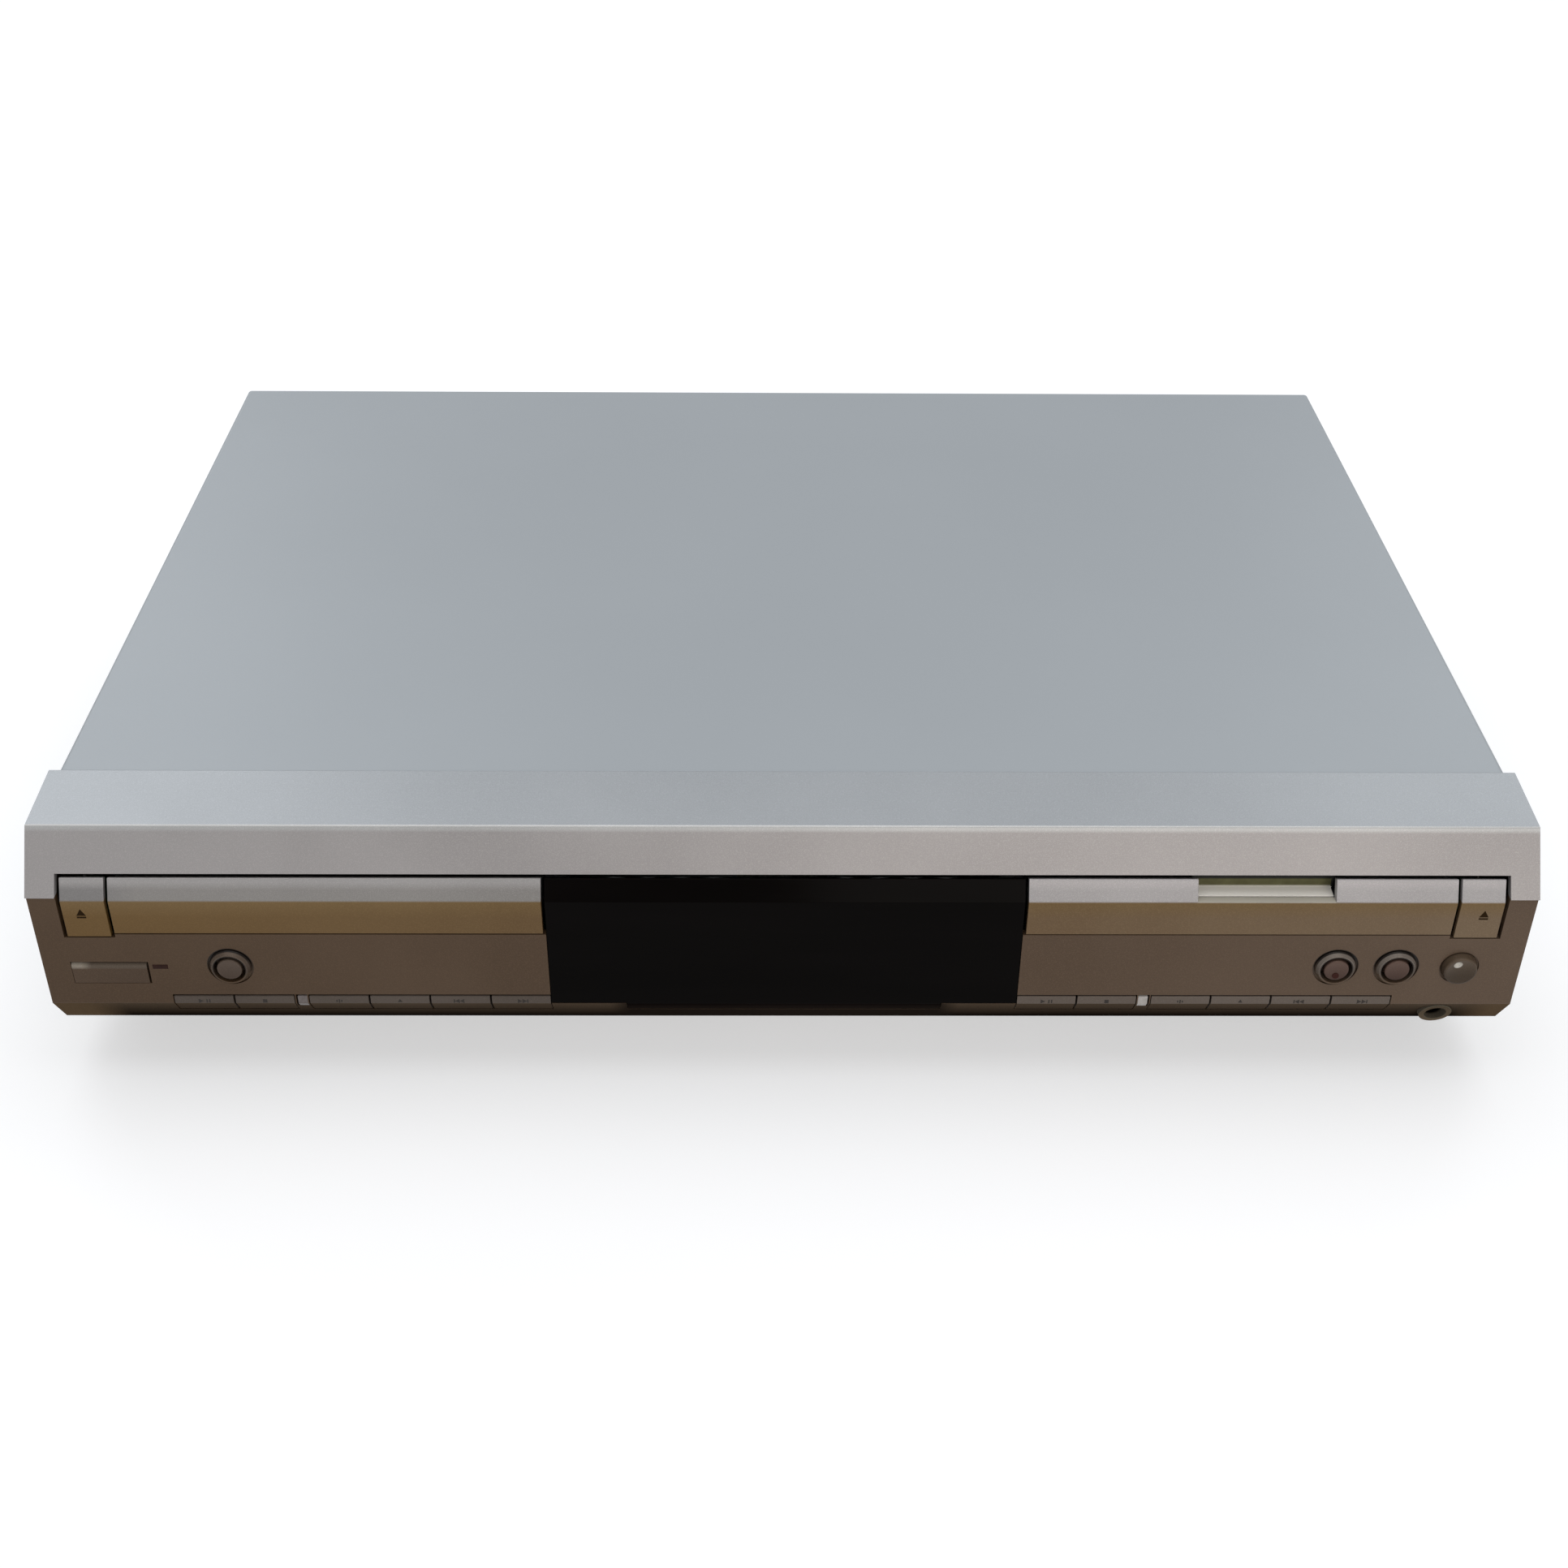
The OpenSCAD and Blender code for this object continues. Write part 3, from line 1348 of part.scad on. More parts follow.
inlet_w = 23;
inlet_h = 14;
inlet_d = 15;
inlet_rim = 2;
inlet_rim_t = 1.5;
inlet_recess_r = 4.1;
inlet_recess_d = 11;
inlet_pin_x = 4.3;
inlet_pin_r = 1.2;
inlet_pin_len = 9;
module mains_inlet() {
  back = rear_d + plate;
  floor_d = rear_d - inlet_recess_d;
  color("#242426") from_front() translate([inlet_x, 0, inlet_z]) {
    difference() {
      union() {
        span([-inlet_w / 2, rear_d - inlet_d, -inlet_h / 2], [inlet_w / 2, back + eps, inlet_h / 2]);
        span(
          [-inlet_w / 2 - inlet_rim, back, -inlet_h / 2 - inlet_rim],
          [inlet_w / 2 + inlet_rim, back + inlet_rim_t, inlet_h / 2 + inlet_rim]
        );
      }
      for (s = [-1, 1]) rod_y(inlet_recess_r, s * inlet_pin_x, floor_d, 0, 2 * inlet_recess_d);
      span(
        [-inlet_pin_x, floor_d, -inlet_recess_r],
        [inlet_pin_x, floor_d + 2 * inlet_recess_d, inlet_recess_r]
      );
    }
    for (s = [-1, 1]) rod_y(inlet_pin_r, s * inlet_pin_x, floor_d - 1, 0, inlet_pin_len + 1);
  }
}

// One line per node

top_cover();
base_pan();
rear_panel();
visor();
front_panel();
display_window();
display_tube();
front_board();
headphone_jack();
indicator_lenses();
main_board();
power_board();
feet();
phono_sockets();
optical_sockets();
mains_inlet();
screws();
drive_motors();
traverse_plates();
guide_rods();
dampers();
clamp_bridges();
deck_frame(-1);  // player_frame
deck_frame(1);  // recorder_frame
tray(-1);  // player_tray
tray(1);  // recorder_tray
player_door();
recorder_door();
record_window();
loading_gear(-1);  // player_loading_gear
loading_gear(1);  // recorder_loading_gear
loading_pinion(-1);  // player_loading_pinion
loading_pinion(1);  // recorder_loading_pinion
sled(-1);  // player_sled
sled(1);  // recorder_sled
turntable(-1);  // player_turntable
turntable(1);  // recorder_turntable
puck(-1);  // player_puck
puck(1);  // recorder_puck
lead_screw(-1);  // player_lead_screw
lead_screw(1);  // recorder_lead_screw
eject_key(-1);  // player_eject_key
eject_key(1);  // recorder_eject_key
standby_key();
round_key(-button_x, "#7b6d60");  // menu_key
round_key(button_x, "#86584c");  // record_key
round_key(copy_x, "#86584c");  // copy_key
level_knob();
row_key(row_starts[0], 0);  // player_key_1
row_key(row_starts[0], 1);  // player_key_2
row_key(row_starts[0], 2);  // player_key_3
row_key(row_starts[0], 3);  // player_key_4
row_key(row_starts[0], 4);  // player_key_5
row_key(row_starts[0], 5);  // player_key_6
row_key(row_starts[1], 0);  // recorder_key_1
row_key(row_starts[1], 1);  // recorder_key_2
row_key(row_starts[1], 2);  // recorder_key_3
row_key(row_starts[1], 3);  // recorder_key_4
row_key(row_starts[1], 4);  // recorder_key_5
row_key(row_starts[1], 5);  // recorder_key_6
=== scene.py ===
# %% [markdown]
# # A twin-deck disc recorder, from plain solids to a portrait
# The construction comes packed from CAD: every solid has its place, and every moving part its joint. This
# lesson keeps those places. It copies the solids that show and rounds their edges, models the small things
# that CAD leaves out, and gives each surface a finish.

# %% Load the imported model
import json
import math

import bpy
from mathutils import Matrix, Vector

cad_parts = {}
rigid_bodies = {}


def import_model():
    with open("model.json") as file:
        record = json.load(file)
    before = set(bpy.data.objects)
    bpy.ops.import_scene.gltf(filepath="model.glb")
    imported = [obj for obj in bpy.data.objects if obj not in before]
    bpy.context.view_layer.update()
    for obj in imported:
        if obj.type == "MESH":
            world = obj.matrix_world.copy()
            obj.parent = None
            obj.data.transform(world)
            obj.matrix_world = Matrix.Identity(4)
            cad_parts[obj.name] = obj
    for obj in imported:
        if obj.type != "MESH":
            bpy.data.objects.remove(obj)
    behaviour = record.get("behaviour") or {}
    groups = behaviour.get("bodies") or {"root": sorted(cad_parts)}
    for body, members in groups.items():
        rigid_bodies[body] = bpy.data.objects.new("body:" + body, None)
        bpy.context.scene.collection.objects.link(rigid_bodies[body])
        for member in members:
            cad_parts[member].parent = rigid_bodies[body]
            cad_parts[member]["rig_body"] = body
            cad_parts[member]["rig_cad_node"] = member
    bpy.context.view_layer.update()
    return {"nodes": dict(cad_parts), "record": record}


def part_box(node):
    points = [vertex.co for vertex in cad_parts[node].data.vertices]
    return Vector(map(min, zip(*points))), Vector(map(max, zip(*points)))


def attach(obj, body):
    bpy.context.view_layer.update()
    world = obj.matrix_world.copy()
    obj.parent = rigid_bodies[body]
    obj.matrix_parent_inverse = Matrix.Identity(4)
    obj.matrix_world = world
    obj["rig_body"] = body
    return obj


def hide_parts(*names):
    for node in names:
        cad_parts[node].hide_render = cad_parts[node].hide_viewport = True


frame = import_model()
nodes = frame["nodes"]
MM = 0.001

# %% [markdown]
# ## Camera
# The picture was taken from above the front, a little to the left. A camera can be aimed by eye, but edges
# of known length in the picture give its place exactly, so the place and the three angles are written down
# here and turned into the camera's own axes: right, up and backwards.

# %% Camera
eye = Vector((-6.64, -622.89, 432.4)) * MM
pitch, yaw, roll = (math.radians(angle) for angle in (34.80, 0.739, 0.526))
ahead = Vector((math.cos(pitch) * math.sin(yaw), math.cos(pitch) * math.cos(yaw), -math.sin(pitch)))
level = Vector((math.cos(yaw), -math.sin(yaw), 0))
over = level.cross(ahead)
right = level * math.cos(roll) + over * math.sin(roll)
up = over * math.cos(roll) - level * math.sin(roll)

bpy.ops.object.camera_add()
camera = bpy.context.active_object
camera.matrix_world = Matrix.Translation(eye) @ Matrix((right, up, -ahead)).transposed().to_4x4()
camera.data.sensor_width = 36
camera.data.lens = 47.13
bpy.context.scene.camera = camera
print("camera", round(eye.length, 3), "m from the middle of the footprint")

# %% [markdown]
# ## Floor and sky
# A product picture wants a plain pale floor that shows nothing but the shadow. A curved paper sweep would do
# the same in a studio; from this high a flat sheet is enough, and a pale sky fills in from all round.

# %% Floor and sky
FLOOR_SIZE = 14
SKY_TINT, SKY_STRENGTH = (0.93, 0.96, 1.0, 1), 0.45
scene = bpy.context.scene
scene.view_settings.view_transform = "Standard"
bpy.ops.object.select_all(action="DESELECT")
bpy.ops.mesh.primitive_plane_add(size=FLOOR_SIZE)
floor = bpy.context.active_object
floor.name = "studio_floor"

world = bpy.data.worlds.new("pale_sky")
world.use_nodes = True
sky = world.node_tree.nodes["Background"].inputs
sky["Color"].default_value = SKY_TINT
sky["Strength"].default_value = SKY_STRENGTH
scene.world = world
print("floor", FLOOR_SIZE, "m wide, sky at strength", SKY_STRENGTH)

# %% [markdown]
# ## Lamps
# A large panel overhead lights the cover, two behind the set draw a sheen towards the ends of the visor, and
# a warm one at the right front keeps the keys readable. Small lamps would draw hard highlights on the
# lacquer, so all four are broad.


# %% Lamps
def soft_panel(name, place, target, size, watts, tint):
    """A square lamp that faces a target."""
    bpy.ops.object.light_add(type="AREA", location=place)
    lamp = bpy.context.active_object
    lamp.name = name
    lamp.rotation_euler = (Vector(target) - Vector(place)).to_track_quat("-Z", "Y").to_euler()
    lamp.data.size = size
    lamp.data.energy = watts
    lamp.data.color = tint


soft_panel("overhead_lamp", (0, 0.2, 1.8), (0, 0, 0), 2.2, 20, (0.98, 0.99, 1.0))
soft_panel("window_lamp", (-1.1, 1.5, 1.2), (-0.1, 0, 0.05), 1.0, 6, (0.94, 0.97, 1.0))
soft_panel("side_lamp", (1.1, 1.5, 1.2), (0.1, 0, 0.05), 0.7, 3, (0.94, 0.98, 1.0))
soft_panel("front_lamp", (0.5, -1.5, 0.8), (0.05, -0.1, 0.05), 1.0, 5.5, (1.0, 0.94, 0.88))
print("four lamps and a sky")

# %% [markdown]
# ## How a finish is built
# Every finish here starts from Blender's Principled shader. Photographs could be wrapped round the parts, but
# patterns that are computed need no pictures and no unwrapping, so each finish is grown from noise that reads
# the piece's own coordinates. This small class holds one material while it is built: grain gives a pattern,
# tint turns a pattern into colour, rough and relief turn it into gloss and bumps.


# %% Finish builder
def seen(red, green, blue):
    """A colour as a picture shows it (0 to 255), turned into the linear values that shaders use."""
    parts = (value / 255 for value in (red, green, blue))
    return tuple(p / 12.92 if p <= 0.04045 else ((p + 0.055) / 1.055) ** 2.4 for p in parts)


class Finish:
    """A material under construction, with patterns that read the piece's own coordinates."""

    def __init__(self, name, sockets):
        self.material = bpy.data.materials.new(name)
        self.material.use_nodes = True
        self.tree = self.material.node_tree
        self.shader = self.tree.nodes["Principled BSDF"]
        for socket, value in sockets.items():
            self.shader.inputs[socket].default_value = value
        self.place = self.add("ShaderNodeTexCoord").outputs["Object"]

    def add(self, kind, inputs=None, **settings):
        node = self.tree.nodes.new(kind)
        for key, value in settings.items():
            setattr(node, key, value)
        for key, value in (inputs or {}).items():
            if isinstance(value, bpy.types.NodeSocket):
                self.tree.links.new(value, node.inputs[key])
            else:
                node.inputs[key].default_value = value
        return node

    def stretched(self, scale):
        return self.add("ShaderNodeMapping", {"Vector": self.place, "Scale": scale}).outputs["Vector"]

    def grain(self, per_mm, detail=2.0, stretch=(1, 1, 1)):
        """Noise with so many blobs to a millimetre."""
        spot = self.stretched(stretch)
        return self.add(
            "ShaderNodeTexNoise", {"Vector": spot, "Scale": per_mm / MM, "Detail": detail}
        ).outputs["Fac"]

    def cells(self, per_mm):
        """Rounded cells, as on moulded rubber."""
        inputs = {"Vector": self.place, "Scale": per_mm / MM}
        return self.add("ShaderNodeTexVoronoi", inputs).outputs["Distance"]

    def spread(self, amount, from_low, from_high, low, high):
        ranges = {"From Min": from_low, "From Max": from_high, "To Min": low, "To Max": high}
        return self.add("ShaderNodeMapRange", {"Value": amount, **ranges}).outputs["Result"]

    def along(self, axis, start, end):
        """Grows from 0 to 1 between two places on an axis, given in millimetres."""
        part = self.add("ShaderNodeSeparateXYZ", {"Vector": self.place}).outputs[axis]
        return self.spread(part, start * MM, end * MM, 0, 1)

    def round_spot(self, x, z, inner, outer):
        """1 inside a circle about an axis along Y and 0 outside it, all in millimetres."""
        masked = {0: self.place, 1: (1, 0, 1)}
        flat = self.add("ShaderNodeVectorMath", masked, operation="MULTIPLY").outputs[0]
        ends = {0: flat, 1: (x * MM, 0, z * MM)}
        reach = self.add("ShaderNodeVectorMath", ends, operation="DISTANCE").outputs["Value"]
        return self.spread(reach, outer * MM, inner * MM, 0, 1)

    def tint(self, amount, dark, light, low=0.35, high=0.65):
        ramp = self.add("ShaderNodeValToRGB", {"Fac": amount})
        for stop, spot, colour in zip(ramp.color_ramp.elements, (low, high), (dark, light)):
            stop.position = spot
            stop.color = (*colour, 1)
        return ramp.outputs["Color"]

    def between(self, amount, first, second):
        return self.add("ShaderNodeMix", {0: amount, 6: first, 7: second}, data_type="RGBA").outputs[2]

    def flecks(self, ground, colour, per_mm, share):
        """Small flecks of another colour over a ground."""
        spots = self.spread(self.grain(per_mm, 1.0), 0.5, 0.66, 0, share)
        return self.between(spots, ground, (*colour, 1))

    def paint(self, colour):
        self.tree.links.new(colour, self.shader.inputs["Base Color"])

    def painted(self):
        """The colour so far, to paint over."""
        return self.shader.inputs["Base Color"].links[0].from_socket

    def rough(self, amount, low, high):
        self.tree.links.new(self.spread(amount, 0.3, 0.7, low, high), self.shader.inputs["Roughness"])

    def relief(self, amount, depth):
        """Bumps of a depth given in millimetres."""
        bump = self.add("ShaderNodeBump", {"Height": amount, "Distance": depth * MM})
        self.tree.links.new(bump.outputs["Normal"], self.shader.inputs["Normal"])


print("finish builder ready")

# %% [markdown]
# ## Paint on the sheet metal
# The cover is folded steel under a satin grey paint. Real paint is never quite even: slow clouds of tone
# come from the spray, a fine grain from the powder. The rear panel has the same paint in a darker grey.


# %% Sheet-metal paints
def satin_paint(name, dark, light, gloss):
    paint = Finish(name, {"Metallic": 0.15, "Coat Weight": 0.08, "Coat Roughness": 0.35})
    clouds = paint.grain(0.009, 3.0)
    powder = paint.grain(2.6, 2.0)
    paint.paint(paint.flecks(paint.tint(clouds, dark, light), light, 2.2, 0.25))
    paint.rough(powder, *gloss)
    paint.relief(powder, 0.012)
    return paint


cover_paint = satin_paint("cover_paint", seen(157, 162, 166), seen(159, 164, 168), (0.42, 0.52))
rear_paint = satin_paint("rear_paint", seen(134, 140, 143), seen(146, 152, 155), (0.45, 0.55))
print("paints", cover_paint.material.name, rear_paint.material.name)

# %% [markdown]
# ## Metallic lacquers of the front
# The front is moulded plastic under lacquer with metal flakes. Flakes could be drawn as geometry, but they
# are far smaller than a millimetre, so two noises stand for them: one lightens tiny specks, one ripples the
# clear coat like orange peel. The visor is silver. A painted highlight draws the lightest line on it along
# its front edge. Painted light gives the fascia a warm tone that darkens towards the right, and the roof a
# cooler one. The finish reads height to tell fascia, edge and roof apart.


# %% Lacquers
def lacquer(name, metal=0.2, coat=0.04, shine=0.2):
    sockets = {"Metallic": metal, "Specular IOR Level": shine, "Coat Weight": coat, "Coat Roughness": 0.2}
    paint = Finish(name, sockets)
    paint.rough(paint.grain(0.05, 2.0), 0.36, 0.38)
    paint.relief(paint.grain(0.9, 2.0), 0.006)
    return paint


def flaked(paint, dark, light):
    """Slow clouds between two tones, with bright flakes over them."""
    glint = tuple(min(1, 1.5 * value) for value in light)
    return paint.flecks(paint.tint(paint.grain(0.02, 2.0), dark, light), glint, 4.0, 0.3)


def across(paint, start, end, *tones):
    """A flaked pair of tones at one place on the width that turns into another pair at a second place."""
    first, second = [seen(*tone) for tone in tones[:2]], [seen(*tone) for tone in tones[2:]]
    return paint.between(paint.along("X", start, end), flaked(paint, *first), flaked(paint, *second))


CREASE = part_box("visor")[0].z / MM
FASCIA_HEIGHT, CORNER = 17.3, 29.5
FASCIA_TOP = CREASE + FASCIA_HEIGHT
EDGE_START, EDGE_FULL = -1.6, -0.8
ROOF_START, ROOF_FULL = -0.02, 0.03

silver_lacquer = lacquer("silver_lacquer", 0.4, 0.1)
# Painted light: a warm fascia tone that darkens towards the right, and a cooler tone for the roof.
fascia = across(silver_lacquer, -150, 20, (166, 161, 159), (176, 171, 169), (157, 152, 150), (166, 161, 159))
roof = flaked(silver_lacquer, seen(158, 161, 164), seen(162, 165, 168))
# Painted highlight: a lighter band along the fascia's top edge, where the rounded edge catches the light.
edge = flaked(silver_lacquer, seen(182, 181, 179), seen(190, 189, 187))
on_edge = silver_lacquer.along("Z", FASCIA_TOP + EDGE_START, FASCIA_TOP + EDGE_FULL)
on_roof = silver_lacquer.along("Z", FASCIA_TOP + ROOF_START, FASCIA_TOP + ROOF_FULL)
front = silver_lacquer.between(on_edge, fascia, edge)
silver_lacquer.paint(silver_lacquer.between(on_roof, front, roof))
print("crease", round(CREASE, 2), "fascia top", round(FASCIA_TOP, 2), "corner", CORNER)

# %% [markdown]
# ## Taupe with collars, painted shade and highlights
# The round keys stand in raised collars with a groove round each. Painted shade darkens the groove and the
# collar's inner rim, and a painted highlight lights a thin arc on the collar's upper half; all three fade out
# towards the bottom. The taupe is partly the lacquer's own tone and partly a painted reflection of brown
# surroundings. The collars belong to the panel's own solid, so circles painted over one another about each
# key's axis pick out groove, arc and rim.


# %% Taupe of the lower front
def middle_of(node):
    """The middle of a solid's box, in millimetres."""
    return sum(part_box(node), Vector()) / 2 / MM


taupe_lacquer = lacquer("taupe_lacquer")
# Partly the lacquer's own taupe and partly a painted reflection of brown surroundings, lightening towards the
# right as painted light.
taupe = across(taupe_lacquer, -200, 200, (79, 60, 42), (86, 67, 49), (93, 75, 59), (100, 82, 66))
GROOVE, ARC, RIM, BLUR = 6.8, 5.8, 5.0, 0.05
FADE_DROP, FADE_RISE = 4, 3
# Painted highlight for the arc on the collars' upper half, lighter towards the right.
lit = across(taupe_lacquer, -50, 50, (90, 76, 64), (98, 84, 72), (114, 104, 95), (124, 114, 105))
# Painted shade for the groove and the collar's inner rim.
dark = flaked(taupe_lacquer, seen(30, 24, 19), seen(36, 29, 24))
for key in ("menu_key", "record_key", "copy_key"):
    middle = middle_of(key)
    height = taupe_lacquer.along("Z", middle.z - FADE_DROP, middle.z + FADE_RISE)
    for tone, radius in ((dark, GROOVE), (lit, ARC), (dark, RIM)):
        collar = taupe_lacquer.between(height, taupe, tone)
        spot = taupe_lacquer.round_spot(middle.x, middle.z, radius - BLUR, radius + BLUR)
        taupe = taupe_lacquer.between(spot, taupe, collar)
    print(key, "collar at", round(middle.x, 1), round(middle.z, 1))
taupe_lacquer.paint(taupe)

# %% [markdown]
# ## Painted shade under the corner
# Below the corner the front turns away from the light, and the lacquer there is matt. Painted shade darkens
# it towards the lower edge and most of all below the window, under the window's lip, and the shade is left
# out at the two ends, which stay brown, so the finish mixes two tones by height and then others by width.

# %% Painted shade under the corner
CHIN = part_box("front_panel")[0].z / MM
CHIN_RIM = 1
WINDOW_OUT, WINDOW_IN = 52, 46
BROWN_ENDS = ((-197, -207), (203, 213))


def under_lacquer(name, top, bottom):
    """A matt finish whose tone changes from the corner down to the chin's lower edge; where it darkens, that
    is painted shade.
    """
    paint = lacquer(name, 0, 0, 0)
    upper = flaked(paint, seen(*top), seen(*(value + 6 for value in top)))
    lower = flaked(paint, seen(*bottom), seen(*(value + 4 for value in bottom)))
    paint.paint(paint.between(paint.along("Z", CORNER, CHIN + CHIN_RIM), upper, lower))
    return paint


# Painted shade: the chin darkens from the corner down to its lower edge.
chin_lacquer = under_lacquer("chin_lacquer", (90, 76, 62), (20, 14, 10))
tone = chin_lacquer.painted()
# Painted shade below the window, under its lip, darker than the rest of the chin.
painted_window_shade = flaked(chin_lacquer, seen(36, 30, 25), seen(41, 35, 30))
sides = {
    0: chin_lacquer.along("X", -WINDOW_OUT, -WINDOW_IN),
    1: chin_lacquer.along("X", WINDOW_OUT, WINDOW_IN),
}
below_window = chin_lacquer.add("ShaderNodeMath", sides, operation="MINIMUM").outputs[0]
tone = chin_lacquer.between(below_window, tone, painted_window_shade)
# At the two ends the painted shade is left out, and the chin stays brown.
brown = flaked(chin_lacquer, seen(100, 82, 62), seen(108, 90, 70))
for start, end in BROWN_ENDS:
    tone = chin_lacquer.between(chin_lacquer.along("X", start, end), tone, brown)
chin_lacquer.paint(tone)
nose_lacquer = under_lacquer("nose_lacquer", (86, 74, 60), (112, 98, 80))
window_under = under_lacquer("window_under", (16, 12, 11), (52, 44, 38))
print("chin from", CORNER, "to", round(CHIN, 1))

# %% [markdown]
# ## Silver and bronze of the doors
# A door is one moulding whose colour switches at its bend: the leaning strip continues the silver fascia, and
# the upright part is bronze, partly its own tone and partly a painted reflection of brown surroundings. The
# colour switches over half a millimetre of height. Painted light makes the bronze lighter just below the bend
# and towards the right, and the strip lighter towards the right. The strip also has a painted highlight
# towards its upper edge and painted shade at its left end.

# %% Silver and bronze of the doors
BEND_DROP = 1.5
BEND = CREASE - BEND_DROP
BEND_START, BEND_FULL = -0.1, 0.4
GOLD_START, GOLD_FULL = 62, 68
SHADED_START, SHADED_FULL = -186, -196
BRIGHT_START, BRIGHT_FULL = 3, 5
door_lacquer = lacquer("door_lacquer")
# Partly the door's own bronze and partly a painted reflection, lightening towards the right as painted light.
bronze = across(door_lacquer, -200, 200, (102, 76, 38), (112, 86, 48), (115, 94, 71), (123, 104, 81))
# Painted reflection: a lighter gold band just below the bend.
gold = flaked(door_lacquer, seen(116, 92, 56), seen(124, 100, 64))
bronze = door_lacquer.between(door_lacquer.along("Z", GOLD_START, GOLD_FULL), bronze, gold)
# Painted light: the strip lightens towards the right.
strip = across(door_lacquer, -60, 60, (141, 137, 133), (151, 147, 143), (162, 158, 157), (172, 168, 167))
# Painted shade: the strip darkens at its left end.
shaded = flaked(door_lacquer, seen(134, 131, 129), seen(142, 139, 137))
strip = door_lacquer.between(door_lacquer.along("X", SHADED_START, SHADED_FULL), strip, shaded)
# Painted highlight: the strip lightens towards its upper edge.
bright = across(door_lacquer, -60, 60, (164, 160, 158), (172, 168, 166), (174, 169, 168), (182, 177, 176))
upper = door_lacquer.along("Z", BEND + BRIGHT_START, BEND + BRIGHT_FULL)
above_bend = door_lacquer.along("Z", BEND + BEND_START, BEND + BEND_FULL)
strip = door_lacquer.between(upper, strip, bright)
door_lacquer.paint(door_lacquer.between(above_bend, bronze, strip))
print("doors bend at", round(BEND, 2))

# %% [markdown]
# ## Lacquer of the keys
# The keys share the taupe of the front but are a little greyer, and painted light lightens the row keys
# towards the right. The round caps are dished, and painted shade makes their lower half darker than their
# upper half; the two on the right have a red cast.


# %% Key lacquers
def key_lacquer(name, axis, start, end, first, second):
    """A lacquer that goes from one tone to another between two places on an axis."""
    paint = lacquer(name)
    tones = [flaked(paint, seen(*tone), seen(*(value + 8 for value in tone))) for tone in (first, second)]
    paint.paint(paint.between(paint.along(axis, start, end), *tones))
    return paint


DISH_DROP, DISH_RISE = 3.5, 2.5
cap = middle_of("record_key").z
dish = (cap - DISH_DROP, cap + DISH_RISE)
# Painted light: the row keys lighten towards the right.
row_lacquer = key_lacquer("row_lacquer", "X", -80, 80, (84, 74, 66), (98, 87, 78))
standby_lacquer = key_lacquer("standby_lacquer", "X", -212, -190, (80, 62, 46), (76, 59, 44))
# Painted shade: the caps darken from the top of the dish down to its bottom.
cap_lacquer = key_lacquer("cap_lacquer", "Z", *dish, (68, 54, 44), (84, 70, 59))
red_cap_lacquer = key_lacquer("red_cap_lacquer", "Z", *dish, (62, 43, 35), (92, 71, 61))
print("caps darken from", round(dish[1], 1), "down to", round(dish[0], 1))

# %% [markdown]
# ## Painted sheen of the standby key, painted highlight of the knob
# The standby key is a bar whose upper edge has a painted sheen, brightest at its left end. The knob is
# painted lighter towards its top, and its finger hole has a painted highlight in a pale tone. A round spot
# on the knob's own coordinates paints it, so it turns with the knob.

# %% Standby key and knob
HALF_WIDTH, HALF_HEIGHT = 11, 3.75
SHEEN_START, SHEEN_FULL = 6, 3
BAND_START, BAND_FULL = -2.4, -1.4
standby = middle_of("standby_key")
left, top = standby.x - HALF_WIDTH, standby.z + HALF_HEIGHT
# Painted sheen along the key's upper edge, brightest at its left end.
sheen = across(
    standby_lacquer, left + SHEEN_START, left + SHEEN_FULL,
    (88, 76, 64), (96, 84, 72), (140, 130, 116), (150, 140, 126),
)
plain = standby_lacquer.painted()
band = standby_lacquer.along("Z", top + BAND_START, top + BAND_FULL)
standby_lacquer.paint(standby_lacquer.between(band, plain, sheen))

FINGER_LEFT, FINGER_UP, FINGER_INNER, FINGER_OUTER = 1.03, 2.2, 1.1, 1.4
knob = middle_of("level_knob")
# Painted light: the knob's face lightens towards its top.
knob_lacquer = key_lacquer("knob_lacquer", "Z", knob.z - 2, knob.z + 4, (60, 48, 36), (84, 69, 54))
face = knob_lacquer.painted()
# Painted highlight in the finger hole.
painted_finger_highlight = flaked(knob_lacquer, seen(190, 184, 174), seen(206, 200, 190))
finger = knob_lacquer.round_spot(knob.x - FINGER_LEFT, knob.z + FINGER_UP, FINGER_INNER, FINGER_OUTER)
knob_lacquer.paint(knob_lacquer.between(finger, face, painted_finger_highlight))
print("standby key from", round(left, 1), "and knob at", round(knob.x, 1))

# %% [markdown]
# ## Headphone socket
# The socket's nose is the same plastic as the front. Light reaches the lower wall of its bore only just
# inside the mouth, so the finish goes from the nose's tone to black over a millimetre of depth.

# %% Socket lacquer
LIT_DEPTH, BLACK_DEPTH = 5.3, 6.3
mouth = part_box("headphone_jack")[0].y / MM
socket_lacquer = lacquer("socket_lacquer", 0, 0, 0)
nose = flaked(socket_lacquer, seen(104, 96, 82), seen(112, 104, 90))
bore = flaked(socket_lacquer, seen(8, 7, 6), seen(12, 10, 9))
inside = socket_lacquer.along("Y", mouth + LIT_DEPTH, mouth + BLACK_DEPTH)
socket_lacquer.paint(socket_lacquer.between(inside, nose, bore))
print("socket mouth at", round(mouth, 1))

# %% [markdown]
# ## Black window and light guides
# The display sits behind smoked acrylic that looks black when it is off. It is the glossiest surface here, so
# it gets faint wipe marks in its gloss instead of grain. The light guides are milky, and the one beside the
# standby key is dark red; both sit in one solid, so the material tells them apart by place.

